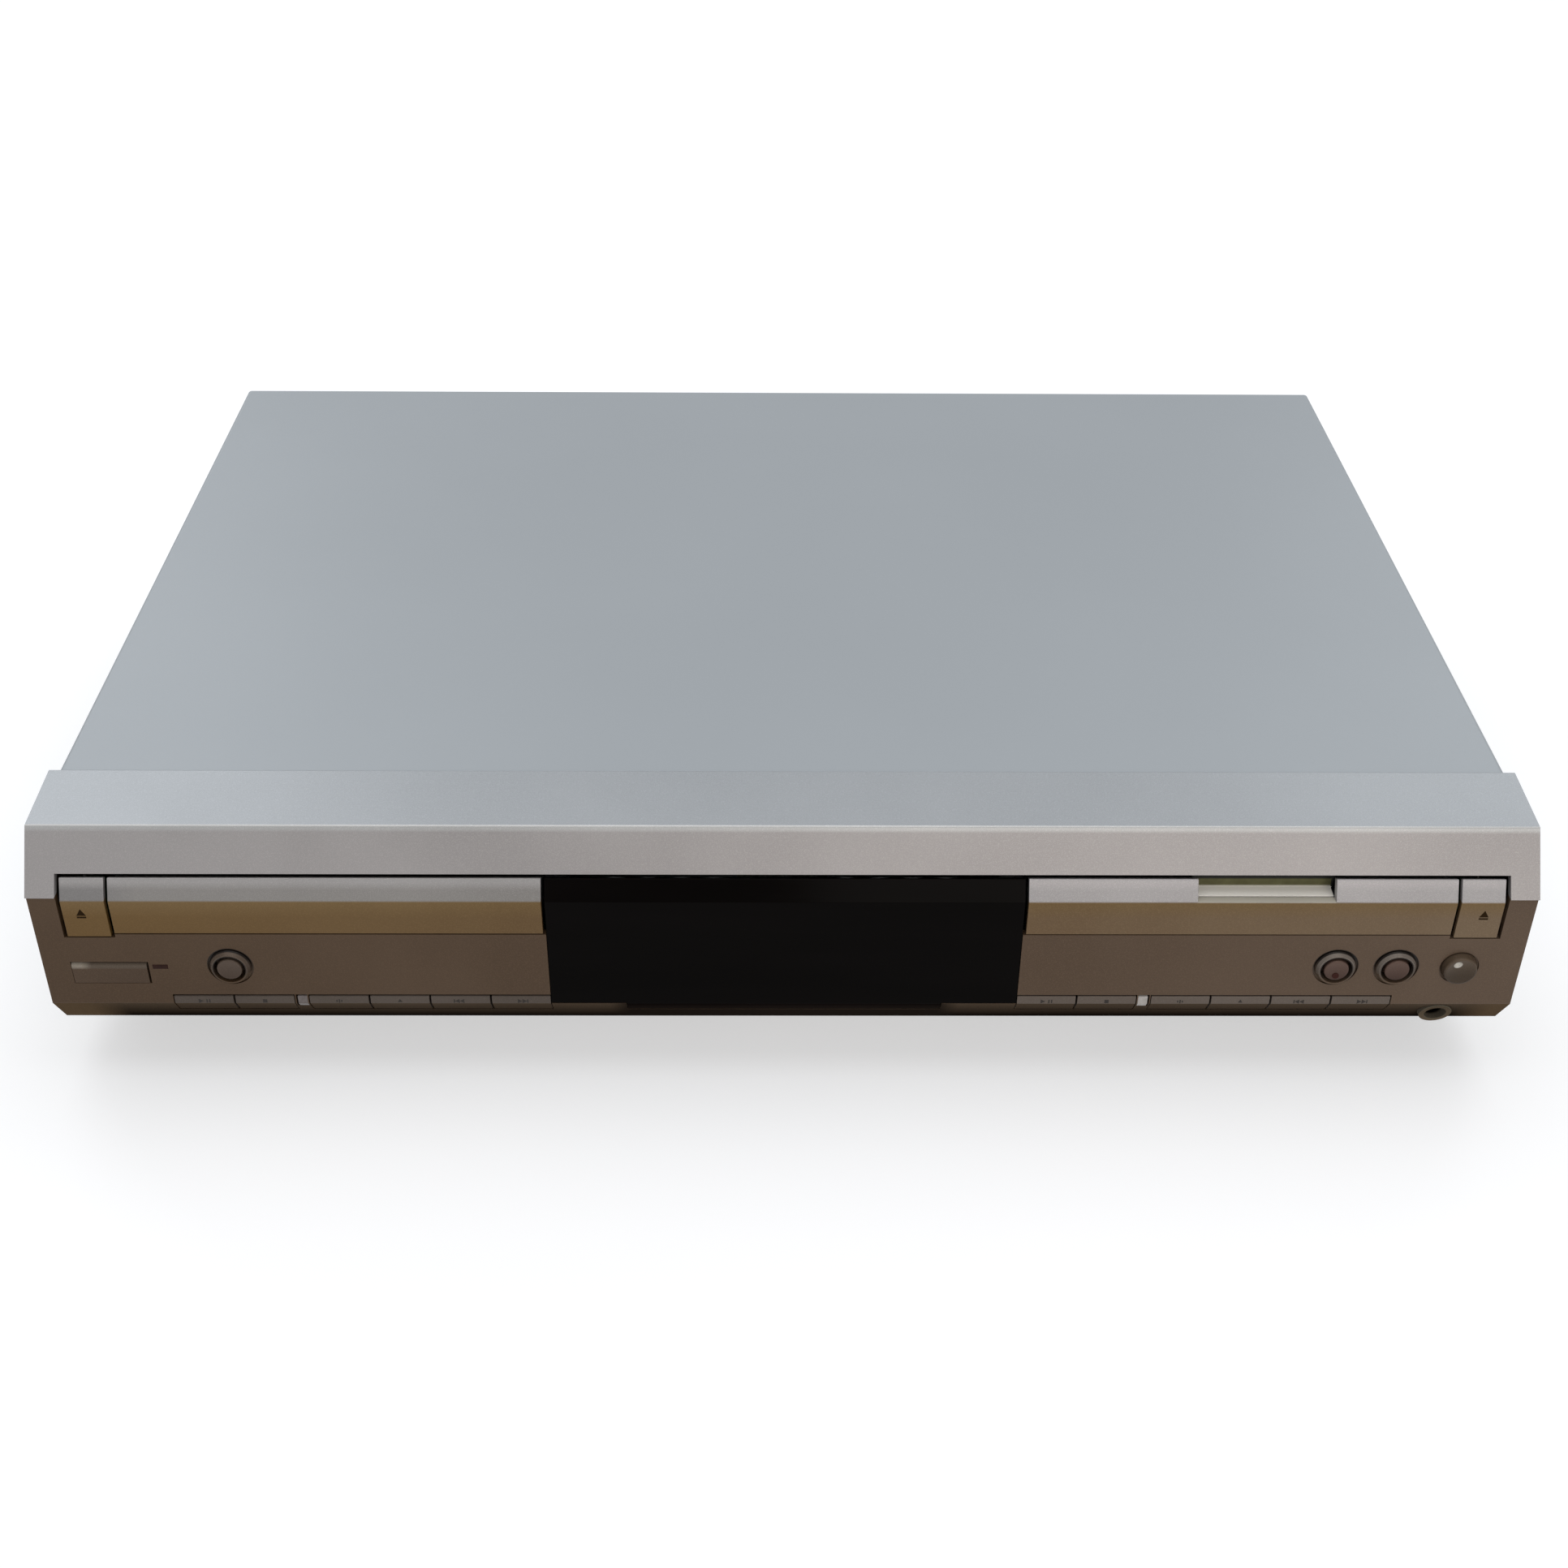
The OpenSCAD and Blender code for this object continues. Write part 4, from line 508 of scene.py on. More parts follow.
# %% Window and light guides
RUBY_END, MILK_START = -166, -164
smoked_acrylic = Finish("smoked_acrylic", {"Specular IOR Level": 0.03, "Coat Weight": 0.0})
wipes = smoked_acrylic.grain(0.03, 4.0, (0.25, 1, 2.5))
smoked_acrylic.paint(smoked_acrylic.tint(wipes, seen(7, 5, 4), seen(11, 8, 7)))
smoked_acrylic.rough(wipes, 0.08, 0.16)
smoked_acrylic.relief(smoked_acrylic.grain(0.02, 1.0), 0.004)

light_guide = Finish("light_guide", {"Specular IOR Level": 0.1, "Coat Weight": 0.0})
haze = light_guide.grain(0.8, 2.0)
milk = light_guide.between(
    light_guide.along("X", -60, 60),
    light_guide.tint(haze, seen(116, 108, 105), seen(130, 122, 119)),
    light_guide.tint(haze, seen(186, 180, 174), seen(202, 196, 190)),
)
ruby = light_guide.tint(haze, seen(44, 22, 15), seen(52, 27, 18))
light_guide.paint(light_guide.between(light_guide.along("X", RUBY_END, MILK_START), ruby, milk))
light_guide.rough(light_guide.grain(0.5, 2.0), 0.22, 0.32)
light_guide.relief(light_guide.grain(0.5, 1.0), 0.004)
print("window and guides done")

# %% [markdown]
# ## Moulded plastics and rubber
# Inside and at the back are plain engineering plastics. They are told apart by their grain: spark-eroded
# texture on the black sockets, soft flow clouds on the deck and the white gears, pebbled cells on rubber.


# %% Plastics and rubber
def moulding(name, dark, light, per_mm, depth, gloss):
    plastic = Finish(name, {"Specular IOR Level": 0.4})
    skin = plastic.grain(per_mm, 3.0)
    flow = plastic.grain(0.03, 2.0)
    plastic.paint(plastic.flecks(plastic.tint(flow, dark, light), light, per_mm, 0.3))
    plastic.rough(skin, *gloss)
    plastic.relief(skin, depth)
    return plastic


def pebbled(name, dark, light, per_mm, depth):
    rubber = Finish(name, {"Specular IOR Level": 0.3})
    pebbles = rubber.cells(per_mm)
    rubber.paint(rubber.tint(rubber.grain(0.3, 3.0), dark, light))
    rubber.rough(rubber.grain(0.2, 2.0), 0.7, 0.85)
    rubber.relief(pebbles, depth)
    return rubber


black_moulding = moulding("black_moulding", seen(30, 30, 31), seen(40, 40, 42), 3.0, 0.02, (0.5, 0.65))
deck_moulding = moulding("deck_moulding", seen(58, 58, 60), seen(68, 68, 71), 2.0, 0.015, (0.45, 0.6))
acetal = moulding("acetal", seen(214, 210, 200), seen(226, 222, 213), 0.9, 0.006, (0.35, 0.5))
foot_rubber = pebbled("foot_rubber", seen(30, 30, 31), seen(42, 42, 43), 1.4, 0.06)
damper_rubber = pebbled("damper_rubber", seen(20, 20, 21), seen(30, 30, 31), 1.0, 0.05)
print("plastics and rubber done")

# %% [markdown]
# ## Liner of the pocket
# The pocket in the right door has a cream liner. Painted shade makes its back wall olive, near black towards
# the top, and its ends dark, so its finish changes colour by depth, height and width. Its floor has a weak
# glow of its own, painted light that brightens it in the pocket's shade. The door's edge in front of the
# floor is beige.

# %% Liner of the pocket
CREAM = (seen(240, 235, 224), seen(248, 243, 233))
SOFT_SKIN = (1.2, 0.01, (0.45, 0.6))
cream_moulding = moulding("cream_moulding", *CREAM, *SOFT_SKIN)
pocket_edge = moulding("pocket_edge", seen(180, 174, 160), seen(186, 180, 166), *SOFT_SKIN)
liner_floor = moulding("liner_floor", *CREAM, *SOFT_SKIN)
# Painted light: a weak glow of the floor's own, though it is no lamp.
liner_floor.shader.inputs["Emission Color"].default_value = (1.0, 0.95, 0.86, 1)
liner_floor.shader.inputs["Emission Strength"].default_value = 0.09

WALL, FLOOR_RISE = 1.0, 0.65
WALL_START, WALL_FULL = -0.3, -0.1
SHADE_START, SHADE_FULL = 2.4, 3.0
OLIVE_START, OLIVE_FULL = -0.3, 0.6
END_START, END_FADE = 1.15, 0.1
low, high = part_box("record_window")
back, pocket = high.y / MM - WALL, low.z / MM + FLOOR_RISE
cream = cream_moulding.painted()
# Painted shade: olive on the back wall, near black at its top and at the liner's ends.
olive = cream_moulding.tint(cream_moulding.grain(0.3, 2.0), seen(92, 90, 56), seen(104, 102, 66))
shade = cream_moulding.tint(cream_moulding.grain(0.3, 2.0), seen(12, 12, 8), seen(16, 16, 11))
upper = cream_moulding.along("Z", pocket + SHADE_START, pocket + SHADE_FULL)
wall = cream_moulding.along("Z", pocket + OLIVE_START, pocket + OLIVE_FULL)
olive = cream_moulding.between(wall, cream, cream_moulding.between(upper, olive, shade))
deep = cream_moulding.along("Y", back + WALL_START, back + WALL_FULL)
liner = cream_moulding.between(deep, cream, olive)
for start, fade in ((low.x / MM + END_START, -END_FADE), (high.x / MM - END_START, END_FADE)):
    liner = cream_moulding.between(cream_moulding.along("X", start, start + fade), liner, shade)
cream_moulding.paint(liner)
print("liner from", round(low.x / MM, 1), "to", round(high.x / MM, 1), "floor at", round(pocket, 2))

# %% [markdown]
# ## Circuit boards and display tube
# A board is resin and glass cloth under a coloured mask, with copper tracks just visible through it. Real
# tracks would need a drawing of the circuit; a brick pattern gives the same straight, stepped lines. The
# display tube is dark glass.


# %% Circuit boards
def laminate(name, ground_dark, ground_light, track):
    board = Finish(name, {"Specular IOR Level": 0.5, "Coat Weight": 0.3, "Coat Roughness": 0.2})
    tracks = board.add(
        "ShaderNodeTexBrick", {"Vector": board.place, "Scale": 90.0, "Mortar Size": 0.012}
    ).outputs["Fac"]
    ground = board.tint(board.grain(0.4, 3.0), ground_dark, ground_light)
    board.paint(board.between(tracks, ground, (*track, 1)))
    board.rough(board.grain(1.5, 2.0), 0.3, 0.45)
    board.relief(tracks, 0.03)
    return board


GREEN = (seen(40, 82, 54), seen(52, 98, 66), seen(78, 122, 86))
main_laminate = laminate("main_laminate", *GREEN)
front_laminate = laminate("front_laminate", *GREEN)
power_laminate = laminate("power_laminate", seen(118, 98, 54), seen(134, 114, 68), seen(104, 84, 44))
tube_glass = Finish("tube_glass", {"Specular IOR Level": 0.5, "Coat Weight": 0.5, "Coat Roughness": 0.05})
tube_glass.paint(tube_glass.tint(tube_glass.grain(0.08, 2.0, (1, 1, 4)), seen(24, 36, 36), seen(40, 54, 52)))
tube_glass.rough(tube_glass.grain(0.1, 2.0), 0.08, 0.2)
tube_glass.relief(tube_glass.grain(0.1, 1.0), 0.005)
print("boards done")

# %% [markdown]
# ## Parts on the boards
# Switches, chips, capacitors and the transformer belong to their board's solid, so the finish tells them
# apart by place: what stands above the broad side is a part, and what reaches in front of the board's edge is
# ribbon cable. The broad side is measured, as the place where most of the area faces one way.


# %% Switches, chips and ribbon
def broad_side(node, axis, sign):
    """Where most of a board's area faces one way along an axis, and the front edge there, in millimetres."""
    sides = {}
    for face in nodes[node].data.polygons:
        if sign * face.normal[axis] > 0.9:
            sides.setdefault(round(face.center[axis] / MM, 1), []).append(face)
    place = max(sides, key=lambda spot: sum(face.area for face in sides[spot]))
    front = min(nodes[node].data.vertices[v].co.y for face in sides[place] for v in face.vertices)
    return place, front / MM


PART_START, PART_FULL = 0.05, 0.15


def set_parts(board, axis, place, sign, part):
    """Paints all that stands on a board's broad side."""
    above = board.along(axis, place + PART_START * sign, place + PART_FULL * sign)
    board.paint(board.between(above, board.painted(), part))


front_side, _ = broad_side("front_board", 1, -1)
switch = front_laminate.tint(front_laminate.grain(2.0), seen(30, 30, 31), seen(40, 40, 42))
set_parts(front_laminate, "Y", front_side, -1, switch)

main_side, main_edge = broad_side("main_board", 2, 1)
chip = main_laminate.tint(main_laminate.grain(2.0), seen(24, 24, 25), seen(33, 33, 34))
set_parts(main_laminate, "Z", main_side, 1, chip)
strands = main_laminate.grain(0.9, 1.0, (1, 0.02, 0.02))
ribbon = main_laminate.tint(strands, seen(172, 170, 162), seen(198, 196, 188))
set_parts(main_laminate, "Y", main_edge, -1, ribbon)
print("broad sides at", front_side, main_side, "board edge at", round(main_edge, 1))

# %% [markdown]
# ## Parts of the power supply
# From left to right stand capacitors in dark sleeves, a transformer with taped windings at both ends of its
# iron core, and a heat sink of bare aluminium. Their tones follow one another along the board's width, and
# tape and iron along its depth.

# %% Capacitors, transformer and heat sink
CAPACITORS_END, CORE_END = 30, 106
CORE_START, CORE_DEPTH = 12, 46
power_side, power_edge = broad_side("power_board", 2, 1)
power_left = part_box("power_board")[0].x / MM
sleeve = power_laminate.tint(power_laminate.grain(1.0), seen(30, 32, 40), seen(40, 42, 52))
sheets = power_laminate.grain(0.5, 3.0, (1, 1, 6))
iron = power_laminate.tint(sheets, seen(84, 84, 86), seen(104, 104, 107))
tape = power_laminate.tint(power_laminate.grain(0.4), seen(168, 126, 50), seen(186, 144, 64))
fins = power_laminate.grain(0.6, 3.0, (1, 0.1, 2))
bare = power_laminate.tint(fins, seen(146, 148, 150), seen(164, 166, 168))
core_front = power_edge + CORE_START
core_back = core_front + CORE_DEPTH
core = power_laminate.between(power_laminate.along("Y", core_front, core_front - 0.1), iron, tape)
core = power_laminate.between(power_laminate.along("Y", core_back, core_back + 0.1), core, tape)
parts = sleeve
for reach, neighbour in ((CAPACITORS_END, core), (CORE_END, bare)):
    start = power_left + reach
    parts = power_laminate.between(power_laminate.along("X", start, start + 1), parts, neighbour)
set_parts(power_laminate, "Z", power_side, 1, parts)
print("core from", round(core_front, 1), "to", round(core_back, 1))

# %% [markdown]
# ## Bare metals
# Zinc-plated sheet, ground rods and gilt sockets are all metal, told apart by how they were worked. Sheet has
# rolling lines, so its noise is stretched along one axis. Rods are ground round and round, so theirs is
# squeezed along their length. Gilding is smooth with a little waviness.


# %% Metals
def worked_metal(name, dark, light, stretch, gloss, depth):
    metal = Finish(name, {"Metallic": 1.0})
    lines = metal.grain(0.6, 4.0, stretch)
    metal.paint(metal.tint(lines, dark, light))
    metal.rough(lines, *gloss)
    metal.relief(lines, depth)
    return metal


ROLLED, GROUND = (0.05, 2, 2), (1, 4, 1)
zinc_sheet = worked_metal("zinc_sheet", seen(176, 179, 181), seen(200, 203, 205), ROLLED, (0.32, 0.45), 0.004)
ground_steel = worked_metal(
    "ground_steel", seen(198, 200, 202), seen(216, 218, 220), GROUND, (0.18, 0.28), 0.003
)
gilding = worked_metal("gilding", seen(196, 164, 98), seen(214, 184, 118), (1, 1, 1), (0.15, 0.25), 0.003)
nickel = worked_metal("nickel", seen(186, 184, 180), seen(206, 204, 200), (1, 3, 1), (0.14, 0.24), 0.003)
print("metals done")

# %% [markdown]
# ## Ink
# The signs on the keys are printed, a few hundredths of a millimetre thick. Ink is not perfectly even, so it
# has a slight mottle, and the record dot uses the same recipe in red.


# %% Inks
def ink(name, dark, light, shine=0.4):
    film = Finish(name, {"Specular IOR Level": shine})
    film.paint(film.tint(film.grain(3.0, 2.0), dark, light))
    film.rough(film.grain(2.0, 2.0), 0.45, 0.6)
    film.relief(film.grain(4.0, 1.0), 0.003)
    return film


dark_ink = ink("dark_ink", seen(34, 25, 18), seen(44, 34, 26))
warm_ink = ink("warm_ink", seen(38, 24, 5), seen(46, 30, 8), 0.05)
red_ink = ink("red_ink", seen(56, 26, 20), seen(64, 32, 25), 0.1)
white_ring = ink("white_ring", seen(214, 212, 206), seen(226, 224, 218))
red_ring = ink("red_ring", seen(166, 38, 32), seen(182, 48, 40))
print("inks done")

# %% [markdown]
# ## Selecting, shading and painting
# Blender's operators act on what is selected, so a helper first leaves one piece selected alone. Weighted
# normals keep the large faces of a piece flat while its bevels shade smoothly. A piece gets one finish, and
# another one on the faces that a test picks out.

# %% Selecting, shading and painting
LEAN = 0.3


def alone(piece):
    """Selects one object and makes it the active one."""
    bpy.ops.object.select_all(action="DESELECT")
    piece.select_set(True)
    bpy.context.view_layer.objects.active = piece


def smooth(piece, turn=40):
    """Smooth shading up to a turn in degrees, with large faces kept flat."""
    alone(piece)
    bpy.ops.object.shade_smooth_by_angle(angle=math.radians(turn))
    weight = piece.modifiers.new("flat_faces", "WEIGHTED_NORMAL")
    weight.keep_sharp = True
    bpy.ops.object.modifier_apply(modifier=weight.name)


def wear(piece, finish):
    piece.data.materials.clear()
    piece.data.materials.append(finish.material)


def repaint(piece, finish, chosen):
    """Gives the faces that a test picks out a finish of their own."""
    piece.data.materials.append(finish.material)
    for face in piece.data.polygons:
        if chosen(face):
            face.material_index = len(piece.data.materials) - 1


def looks_down(face):
    return face.normal.z < -LEAN and face.normal.y < -LEAN


print("helpers for one piece ready")

# %% [markdown]
# ## Rounding the solids that show
# CAD edges are knife-sharp, and sharp edges catch no light. Each solid that shows is copied, its loose
# triangles are merged, flat neighbours are joined into one face, and a narrow bevel rounds every real edge.
# The copy rides on the same body as its solid and stands for it.

# %% Rounded copies
MERGE = 0.002
FLAT_TURN, SHARP_TURN = math.radians(0.3), math.radians(30)


def rounded_copy(node, finish, radius, segments=2, split=False, clamp=False, under=None):
    """A merged copy of a solid with its edges rounded by a radius in millimetres.

    Where a notch cuts a face to its edge, the face is split into convex ones first, or the bevel would fold
    it, and where arcs have short edges the bevel is clamped to their length.
    """
    alone(nodes[node])
    bpy.ops.object.duplicate()
    piece = bpy.context.active_object
    piece.name = f"{node}_shown"
    del piece["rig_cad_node"]
    bpy.ops.mesh.customdata_custom_splitnormals_clear()
    bpy.ops.object.mode_set(mode="EDIT")
    bpy.ops.mesh.select_all(action="SELECT")
    bpy.ops.mesh.remove_doubles(threshold=MERGE * MM)
    bpy.ops.mesh.dissolve_limited(angle_limit=FLAT_TURN)
    if split:
        bpy.ops.mesh.vert_connect_concave()
    bpy.ops.object.mode_set(mode="OBJECT")
    edge = piece.modifiers.new("edge", "BEVEL")
    edge.width = radius * MM
    edge.segments = segments
    edge.limit_method = "ANGLE"
    edge.angle_limit = SHARP_TURN
    edge.use_clamp_overlap = clamp
    bpy.ops.object.modifier_apply(modifier=edge.name)
    smooth(piece)
    wear(piece, finish)
    if under:
        repaint(piece, under, looks_down)
    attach(piece, nodes[node]["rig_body"])
    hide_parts(node)
    return piece


print("edges count as sharp from", round(math.degrees(SHARP_TURN)), "degrees")

# %% [markdown]
# ## Case
# The cover is one folded sheet, the pan and the rear panel close it, and screws hold them together. Sheet
# edges are only lightly broken, so their radius is small; the feet are soft and get a larger one.

# %% Case pieces
case_pieces = [
    rounded_copy("top_cover", cover_paint, 0.2),
    rounded_copy("base_pan", zinc_sheet, 0.12),
    rounded_copy("rear_panel", rear_paint, 0.12),
    rounded_copy("feet", foot_rubber, 0.4, 3),
    rounded_copy("screws", ground_steel, 0.12),
]
print({piece.name: len(piece.data.polygons) for piece in case_pieces})

# %% [markdown]
# ## Front mouldings
# The visor leans out over the trays and the panel carries the keys. Their edges are moulded with a radius of
# a few tenths, which, with a painted highlight on the visor's front edge, draws the thin bright lines along
# the fascia. The window is bent from one sheet.

# %% Front pieces
front_pieces = [
    rounded_copy("visor", silver_lacquer, 0.12, split=True),
    rounded_copy("front_panel", taupe_lacquer, 0.18, clamp=True, under=chin_lacquer),
    rounded_copy("display_window", smoked_acrylic, 0.3, clamp=True, under=window_under),
    rounded_copy("indicator_lenses", light_guide, 0.2),
    rounded_copy("headphone_jack", socket_lacquer, 0.2),
]
print({piece.name: len(piece.data.polygons) for piece in front_pieces})

# %% [markdown]
# ## Nose and body of the headphone socket
# The nose's rim and the lower half of its wall are a little lighter than the chin. The body behind the panel
# is black, and shows in the slot below the chin. Depth tells nose from body, and the distance from the bore's
# axis tells both from the bore.

# %% Nose and body of the headphone socket
NOSE_DEPTH, BORE = 11, 3.6
jack = front_pieces[-1]
axis = next(mount["pos_m"] for mount in frame["record"]["mounts"] if mount["name"] == "headphones")


def off_bore(face):
    return math.hypot(face.center.x - axis[0], face.center.z - axis[2]) > BORE * MM


def on_nose(face):
    lower_wall = face.normal.z < -LEAN and off_bore(face)
    return face.center.y < (mouth + NOSE_DEPTH) * MM and (lower_wall or looks_down(face))


def on_body(face):
    return face.center.y > (mouth + NOSE_DEPTH) * MM and off_bore(face)


repaint(jack, nose_lacquer, on_nose)
repaint(jack, black_moulding, on_body)
print("body faces:", sum(on_body(face) for face in jack.data.polygons))

# %% [markdown]
# ## Doors and trays
# Each door is the front of its tray and moves with it. In the right door's pocket the faces that look up are
# the liner's cream floor with its painted glow and, in front of it, the door's own beige edge, so both get
# finishes of their own.

# %% Door and tray pieces
deck_pieces = [
    rounded_copy("record_window", cream_moulding, 0.2),
    rounded_copy("player_door", door_lacquer, 0.2),
    rounded_copy("recorder_door", door_lacquer, 0.12, split=True),
]


def pocket_floor(face):
    return face.normal.z > 0.5 and face.center.z < CREASE * MM


repaint(deck_pieces[0], liner_floor, pocket_floor)
repaint(deck_pieces[2], pocket_edge, pocket_floor)
for deck in ("player", "recorder"):
    deck_pieces.append(rounded_copy(f"{deck}_eject_key", door_lacquer, 0.25))
    deck_pieces.append(rounded_copy(f"{deck}_tray", deck_moulding, 0.25))
print({piece.name: len(piece.data.polygons) for piece in deck_pieces})

# %% [markdown]
# ## Keys and knob
# Twelve keys wrap round the lower corner in two rows. The round keys are dished, the knob has a finger hole.
# Each key is a copy of its own and not part of one mesh, so that its joint can move it. The undersides of the
# two rows get the chin's finish with its painted shade.

# %% Key pieces
KEYS = [f"{deck}_key_{place}" for deck in ("player", "recorder") for place in range(1, 7)]
for key in KEYS:
    rounded_copy(key, row_lacquer, 0.2, under=chin_lacquer)
rounded_copy("standby_key", standby_lacquer, 0.06, split=True)
rounded_copy("menu_key", cap_lacquer, 0.12)
rounded_copy("record_key", red_cap_lacquer, 0.12)
rounded_copy("copy_key", red_cap_lacquer, 0.12)
rounded_copy("level_knob", knob_lacquer, 0.12)
print(len(KEYS) + 5, "keys and a knob")

# %% [markdown]
# ## Sockets at the back
# The phono sleeves are gilt and stand on black bodies behind the panel. The optical sockets and the mains
# inlet are black mouldings. Sleeves and bodies are one mesh, so depth tells them apart.

# %% Socket pieces
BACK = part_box("rear_panel")[1].y
BODY_DEPTH = 2
phono = rounded_copy("phono_sockets", gilding, 0.2)
repaint(phono, black_moulding, lambda face: face.center.y < BACK - BODY_DEPTH * MM)
rounded_copy("optical_sockets", black_moulding, 0.2)
rounded_copy("mains_inlet", black_moulding, 0.25)
print("sockets on a panel whose back is at", round(BACK / MM, 1))

# %% [markdown]
# ## Signs on the keys
# The keys carry the usual signs: play and pause, stop, skip. Text objects could draw them, but plain shapes
# say the same without letters, so bars and triangles are added at their size, lightly bevelled and joined.
# They stand a few hundredths of a millimetre proud, like thick ink.

# %% Shapes of the signs
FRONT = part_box("player_key_1")[0].y
FILM, RIM_BEVEL, TRIANGLE = 0.06, 0.02, 0.62


def settle(piece, name, finish, body):
    """Names a new piece, puts its place into its mesh, and hands it to its body."""
    piece.name = name
    alone(piece)
    bpy.ops.object.transform_apply(location=True, rotation=True, scale=True)
    wear(piece, finish)
    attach(piece, body)
    return piece


def sign_bar(x, y, z, width, height):
    bpy.ops.object.select_all(action="DESELECT")
    bpy.ops.mesh.primitive_cube_add(size=MM, location=(x, y, z))
    bar = bpy.context.active_object
    bar.scale = (width, FILM, height)
    return bar


def sign_arrow(x, y, z, size, turn):
    """A triangle that points up, turned towards the right by an angle in degrees."""
    bpy.ops.object.select_all(action="DESELECT")
    bpy.ops.mesh.primitive_cylinder_add(
        vertices=3, radius=TRIANGLE * size * MM, depth=FILM * MM,
        location=(x, y, z), rotation=(math.pi / 2, math.radians(turn), 0),
    )
    return bpy.context.active_object


def print_sign(shapes, name, finish, body):
    """Joins the shapes of one sign, softens their rims and hands the sign to its key."""
    bpy.ops.object.select_all(action="DESELECT")
    for shape in shapes:
        shape.select_set(True)
    bpy.context.view_layer.objects.active = shapes[0]
    bpy.ops.object.transform_apply(location=True, rotation=True, scale=True)
    if len(shapes) > 1:
        bpy.ops.object.join()
    sign = bpy.context.active_object
    bpy.ops.object.mode_set(mode="EDIT")
    bpy.ops.mesh.select_all(action="SELECT")
    bpy.ops.mesh.bevel(offset=RIM_BEVEL * MM, segments=1)
    bpy.ops.object.mode_set(mode="OBJECT")
    return settle(sign, name, finish, body)


print("signs on the plane", round(FRONT / MM, 2), "with ink", FILM, "mm thick")

# %% [markdown]
# ## Printing the signs
# Both rows carry the same six signs. Each is written once, as a list of bars and triangles with their shift
# and size, printed on its key in the left row, and copied to the same key of the right row.


# %% Print the key signs
def another(piece, shift, name, finish, body):
    """A copy of a finished piece with a mesh of its own, moved by a shift and handed to its body."""
    alone(piece)
    bpy.ops.object.duplicate()
    bpy.ops.transform.translate(value=shift)
    return settle(bpy.context.active_object, name, finish, body)


SIGNS = {
    1: [("arrow", -1.2, 1.5, 90), ("bar", 0.8, 0.4, 1.3), ("bar", 1.6, 0.4, 1.3)],
    2: [("bar", 0.0, 1.3, 1.3)],
    3: [("bar", -0.7, 0.4, 0.8), ("bar", 0.0, 0.4, 1.3), ("bar", 0.7, 0.4, 0.8)],
    4: [("arrow", 0.0, 1.3, 0)],
    5: [("bar", -1.9, 0.35, 1.3), ("arrow", -0.8, 1.5, -90), ("arrow", 0.6, 1.5, -90)],
    6: [("arrow", -0.6, 1.5, 90), ("arrow", 0.8, 1.5, 90), ("bar", 1.9, 0.35, 1.3)],
}
ROW_RISE = 0.85
ROW_LINE = (CORNER + ROW_RISE) * MM
for place, strokes in SIGNS.items():
    near, far = f"player_key_{place}", f"recorder_key_{place}"
    middle = middle_of(near).x
    shapes = []
    for kind, shift, *size in strokes:
        draw = sign_bar if kind == "bar" else sign_arrow
        shapes.append(draw((middle + shift) * MM, FRONT, ROW_LINE, *size))
    sign = print_sign(shapes, f"{near}_sign", dark_ink, near)
    row_shift = ((middle_of(far).x - middle) * MM, 0, 0)
    another(sign, row_shift, f"{far}_sign", dark_ink, far)
print(2 * len(SIGNS), "signs")

# %% [markdown]
# ## Eject signs and record dot
# The eject keys have a triangle over a bar in a warm dark ink. The record key has a red dot in the lower half
# of its dish, a little disc with a softened rim.

# %% Eject signs and record dot
EJECT_DROP = 6.4
EJECT_LINE = CREASE - EJECT_DROP
ARROW_RISE, ARROW_SIZE = 0.6, 2.6
BAR_DROP, BAR_WIDTH, BAR_HEIGHT = 0.8, 2.7, 0.6
middle = middle_of("player_eject_key").x
shapes = [
    sign_arrow(middle * MM, FRONT, (EJECT_LINE + ARROW_RISE) * MM, ARROW_SIZE, 0),
    sign_bar(middle * MM, FRONT, (EJECT_LINE - BAR_DROP) * MM, BAR_WIDTH, BAR_HEIGHT),
]
sign = print_sign(shapes, "player_eject_sign", warm_ink, "player_eject_key")
shift = ((middle_of("recorder_eject_key").x - middle) * MM, 0, 0)
another(sign, shift, "recorder_eject_sign", warm_ink, "recorder_eject_key")

DOT_RADIUS, DOT_DEPTH, DOT_DROP = 1.0, 0.4, 2.0
low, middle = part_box("record_key")[0], middle_of("record_key")
bpy.ops.object.select_all(action="DESELECT")
bpy.ops.mesh.primitive_cylinder_add(
    vertices=32, radius=DOT_RADIUS * MM, depth=DOT_DEPTH * MM, rotation=(math.pi / 2, 0, 0),
    location=(middle.x * MM, low.y + DOT_DEPTH / 2 * MM, (middle.z - DOT_DROP) * MM),
)
dot = print_sign([bpy.context.active_object], "record_dot", red_ink, "record_key")
print("eject signs and", dot.name)

# %% [markdown]
# ## Rings at the phono sockets
# Coloured rings tell the phono channels apart. A ring could be cut from a tube; here it starts as a flat disc
# whose middle is inset and removed, and the rest is extruded and bevelled. The other five are copies of it.

# %% First phono ring
RING_OUTER, RING_INNER, RING_HEIGHT, RING_BEVEL = 6.2, 4.3, 2.0, 0.12
FIRST_SOCKET, SOCKET_STEP = 40, 22
UPPER_ROW, LOWER_ROW = 49.1, 35.1

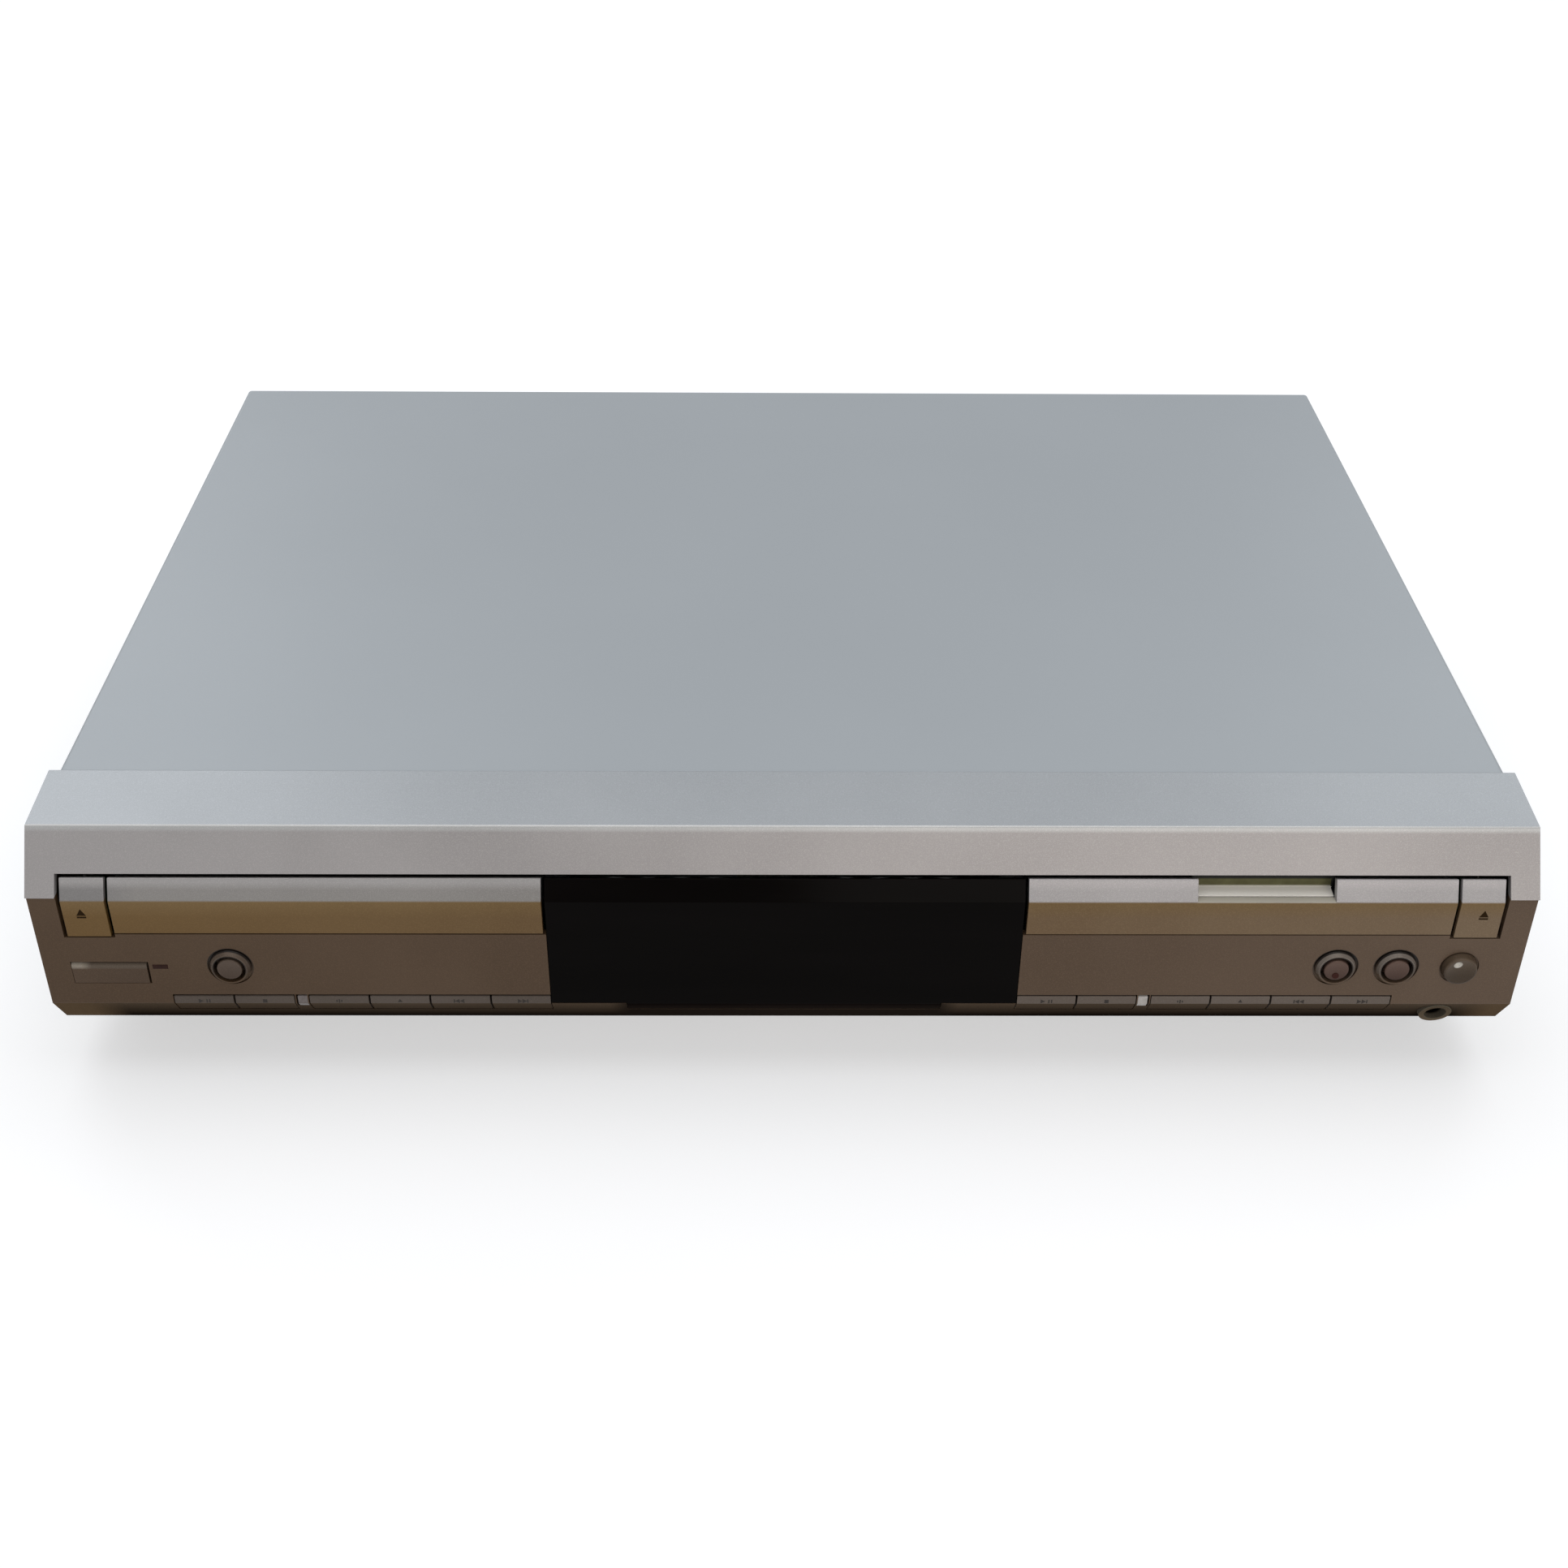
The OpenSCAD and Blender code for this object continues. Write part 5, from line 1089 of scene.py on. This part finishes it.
bpy.ops.object.select_all(action="DESELECT")
bpy.ops.mesh.primitive_circle_add(
    vertices=64, radius=RING_OUTER * MM, fill_type="NGON",
    location=(FIRST_SOCKET * MM, BACK, UPPER_ROW * MM), rotation=(-math.pi / 2, 0, 0),
)
ring = bpy.context.active_object
bpy.ops.object.transform_apply(location=True, rotation=True, scale=True)
bpy.ops.object.mode_set(mode="EDIT")
bpy.ops.mesh.select_all(action="SELECT")
bpy.ops.mesh.inset(thickness=(RING_OUTER - RING_INNER) * MM)
bpy.ops.mesh.delete(type="FACE")
bpy.ops.mesh.select_all(action="SELECT")
bpy.ops.mesh.extrude_region_move(TRANSFORM_OT_translate={"value": (0, RING_HEIGHT * MM, 0)})
bpy.ops.mesh.select_all(action="SELECT")
bpy.ops.mesh.normals_make_consistent(inside=False)
bpy.ops.mesh.bevel(offset=RING_BEVEL * MM, segments=2)
bpy.ops.object.mode_set(mode="OBJECT")
smooth(ring)
settle(ring, "phono_ring_upper_1", white_ring, "case")
print(ring.name, len(ring.data.polygons), "faces")

# %% [markdown]
# ## Five more rings
# The sockets stand in three columns and two rows, white above red, so each copy of the first ring is shifted
# by whole columns and by the distance of the rows.

# %% Copies of the ring
for row, height, finish in (("upper", UPPER_ROW, white_ring), ("lower", LOWER_ROW, red_ring)):
    for column in range(3):
        name = f"phono_ring_{row}_{column + 1}"
        if name != ring.name:
            shift = (SOCKET_STEP * column * MM, 0, (height - UPPER_ROW) * MM)
            another(ring, shift, name, finish, "case")
print("six phono rings")

# %% [markdown]
# ## Mains pins
# Two nickel pins stand in the mains inlet, each a rod with a well rounded tip. The left one is bevelled from
# a cylinder, the right one is its copy.

# %% Mains pins
PIN_SPACING, PIN_DEPTH = 8.6, 7.3
PIN_RADIUS, PIN_LENGTH, PIN_TIP = 1.25, 8.6, 0.4
inlet = middle_of("mains_inlet")
bpy.ops.object.select_all(action="DESELECT")
bpy.ops.mesh.primitive_cylinder_add(
    vertices=32, radius=PIN_RADIUS * MM, depth=PIN_LENGTH * MM, rotation=(math.pi / 2, 0, 0),
    location=((inlet.x - PIN_SPACING / 2) * MM, BACK - PIN_DEPTH * MM, inlet.z * MM),
)
pin = bpy.context.active_object
bpy.ops.object.transform_apply(location=True, rotation=True, scale=True)
bpy.ops.object.mode_set(mode="EDIT")
bpy.ops.mesh.select_all(action="SELECT")
bpy.ops.mesh.bevel(offset=PIN_TIP * MM, segments=3)
bpy.ops.object.mode_set(mode="OBJECT")
smooth(pin)
settle(pin, "mains_pin_left", nickel, "case")
another(pin, (PIN_SPACING * MM, 0, 0), "mains_pin_right", nickel, "case")
print("two mains pins,", PIN_SPACING, "mm apart")

# %% [markdown]
# ## Works inside
# Boards, motors, gears and traverses lie under the cover. They could be rounded like the case, but their
# edges are hardly ever seen, so each keeps its CAD shape and gets a finish of its own.

# %% Finishes of the works
works = {
    "front_board": front_laminate, "main_board": main_laminate, "power_board": power_laminate,
    "display_tube": tube_glass,
    "drive_motors": zinc_sheet, "traverse_plates": zinc_sheet, "clamp_bridges": zinc_sheet,
    "guide_rods": ground_steel, "dampers": damper_rubber,
}
for deck in ("player", "recorder"):
    works[f"{deck}_frame"] = deck_moulding
    works[f"{deck}_turntable"] = black_moulding
    works[f"{deck}_sled"] = zinc_sheet
    works[f"{deck}_lead_screw"] = ground_steel
    for part in ("loading_gear", "loading_pinion", "puck"):
        works[f"{deck}_{part}"] = acetal
for node, finish in works.items():
    wear(nodes[node], finish)
print(len(works), "solids under the cover")

# %% [markdown]
# ## Floor finish
# The floor is a matt pale sheet. To the eye of the camera, and in reflections, a soft glow of its own lifts
# it to white without any more light falling on the set, and the shadow stays.

# %% Floor finish
FLOOR_GLOW = 0.5
pale_floor = Finish("pale_floor", {"Specular IOR Level": 0.1, "Emission Color": (1, 1, 1, 1)})
pale_floor.paint(pale_floor.tint(pale_floor.grain(0.002, 2.0), seen(196, 197, 198), seen(200, 200, 201)))
pale_floor.rough(pale_floor.grain(0.01, 2.0), 0.75, 0.85)
rays = pale_floor.add("ShaderNodeLightPath").outputs
seen_ray = rays["Is Camera Ray"]
for kind in ("Is Glossy Ray", "Is Transmission Ray"):
    seen_ray = pale_floor.add("ShaderNodeMath", {0: seen_ray, 1: rays[kind]}, operation="MAXIMUM").outputs[0]
glow = pale_floor.add("ShaderNodeMath", {0: seen_ray, 1: FLOOR_GLOW}, operation="MULTIPLY").outputs[0]
pale_floor.tree.links.new(glow, pale_floor.shader.inputs["Emission Strength"])
wear(floor, pale_floor)
print("floor glows with strength", FLOOR_GLOW)
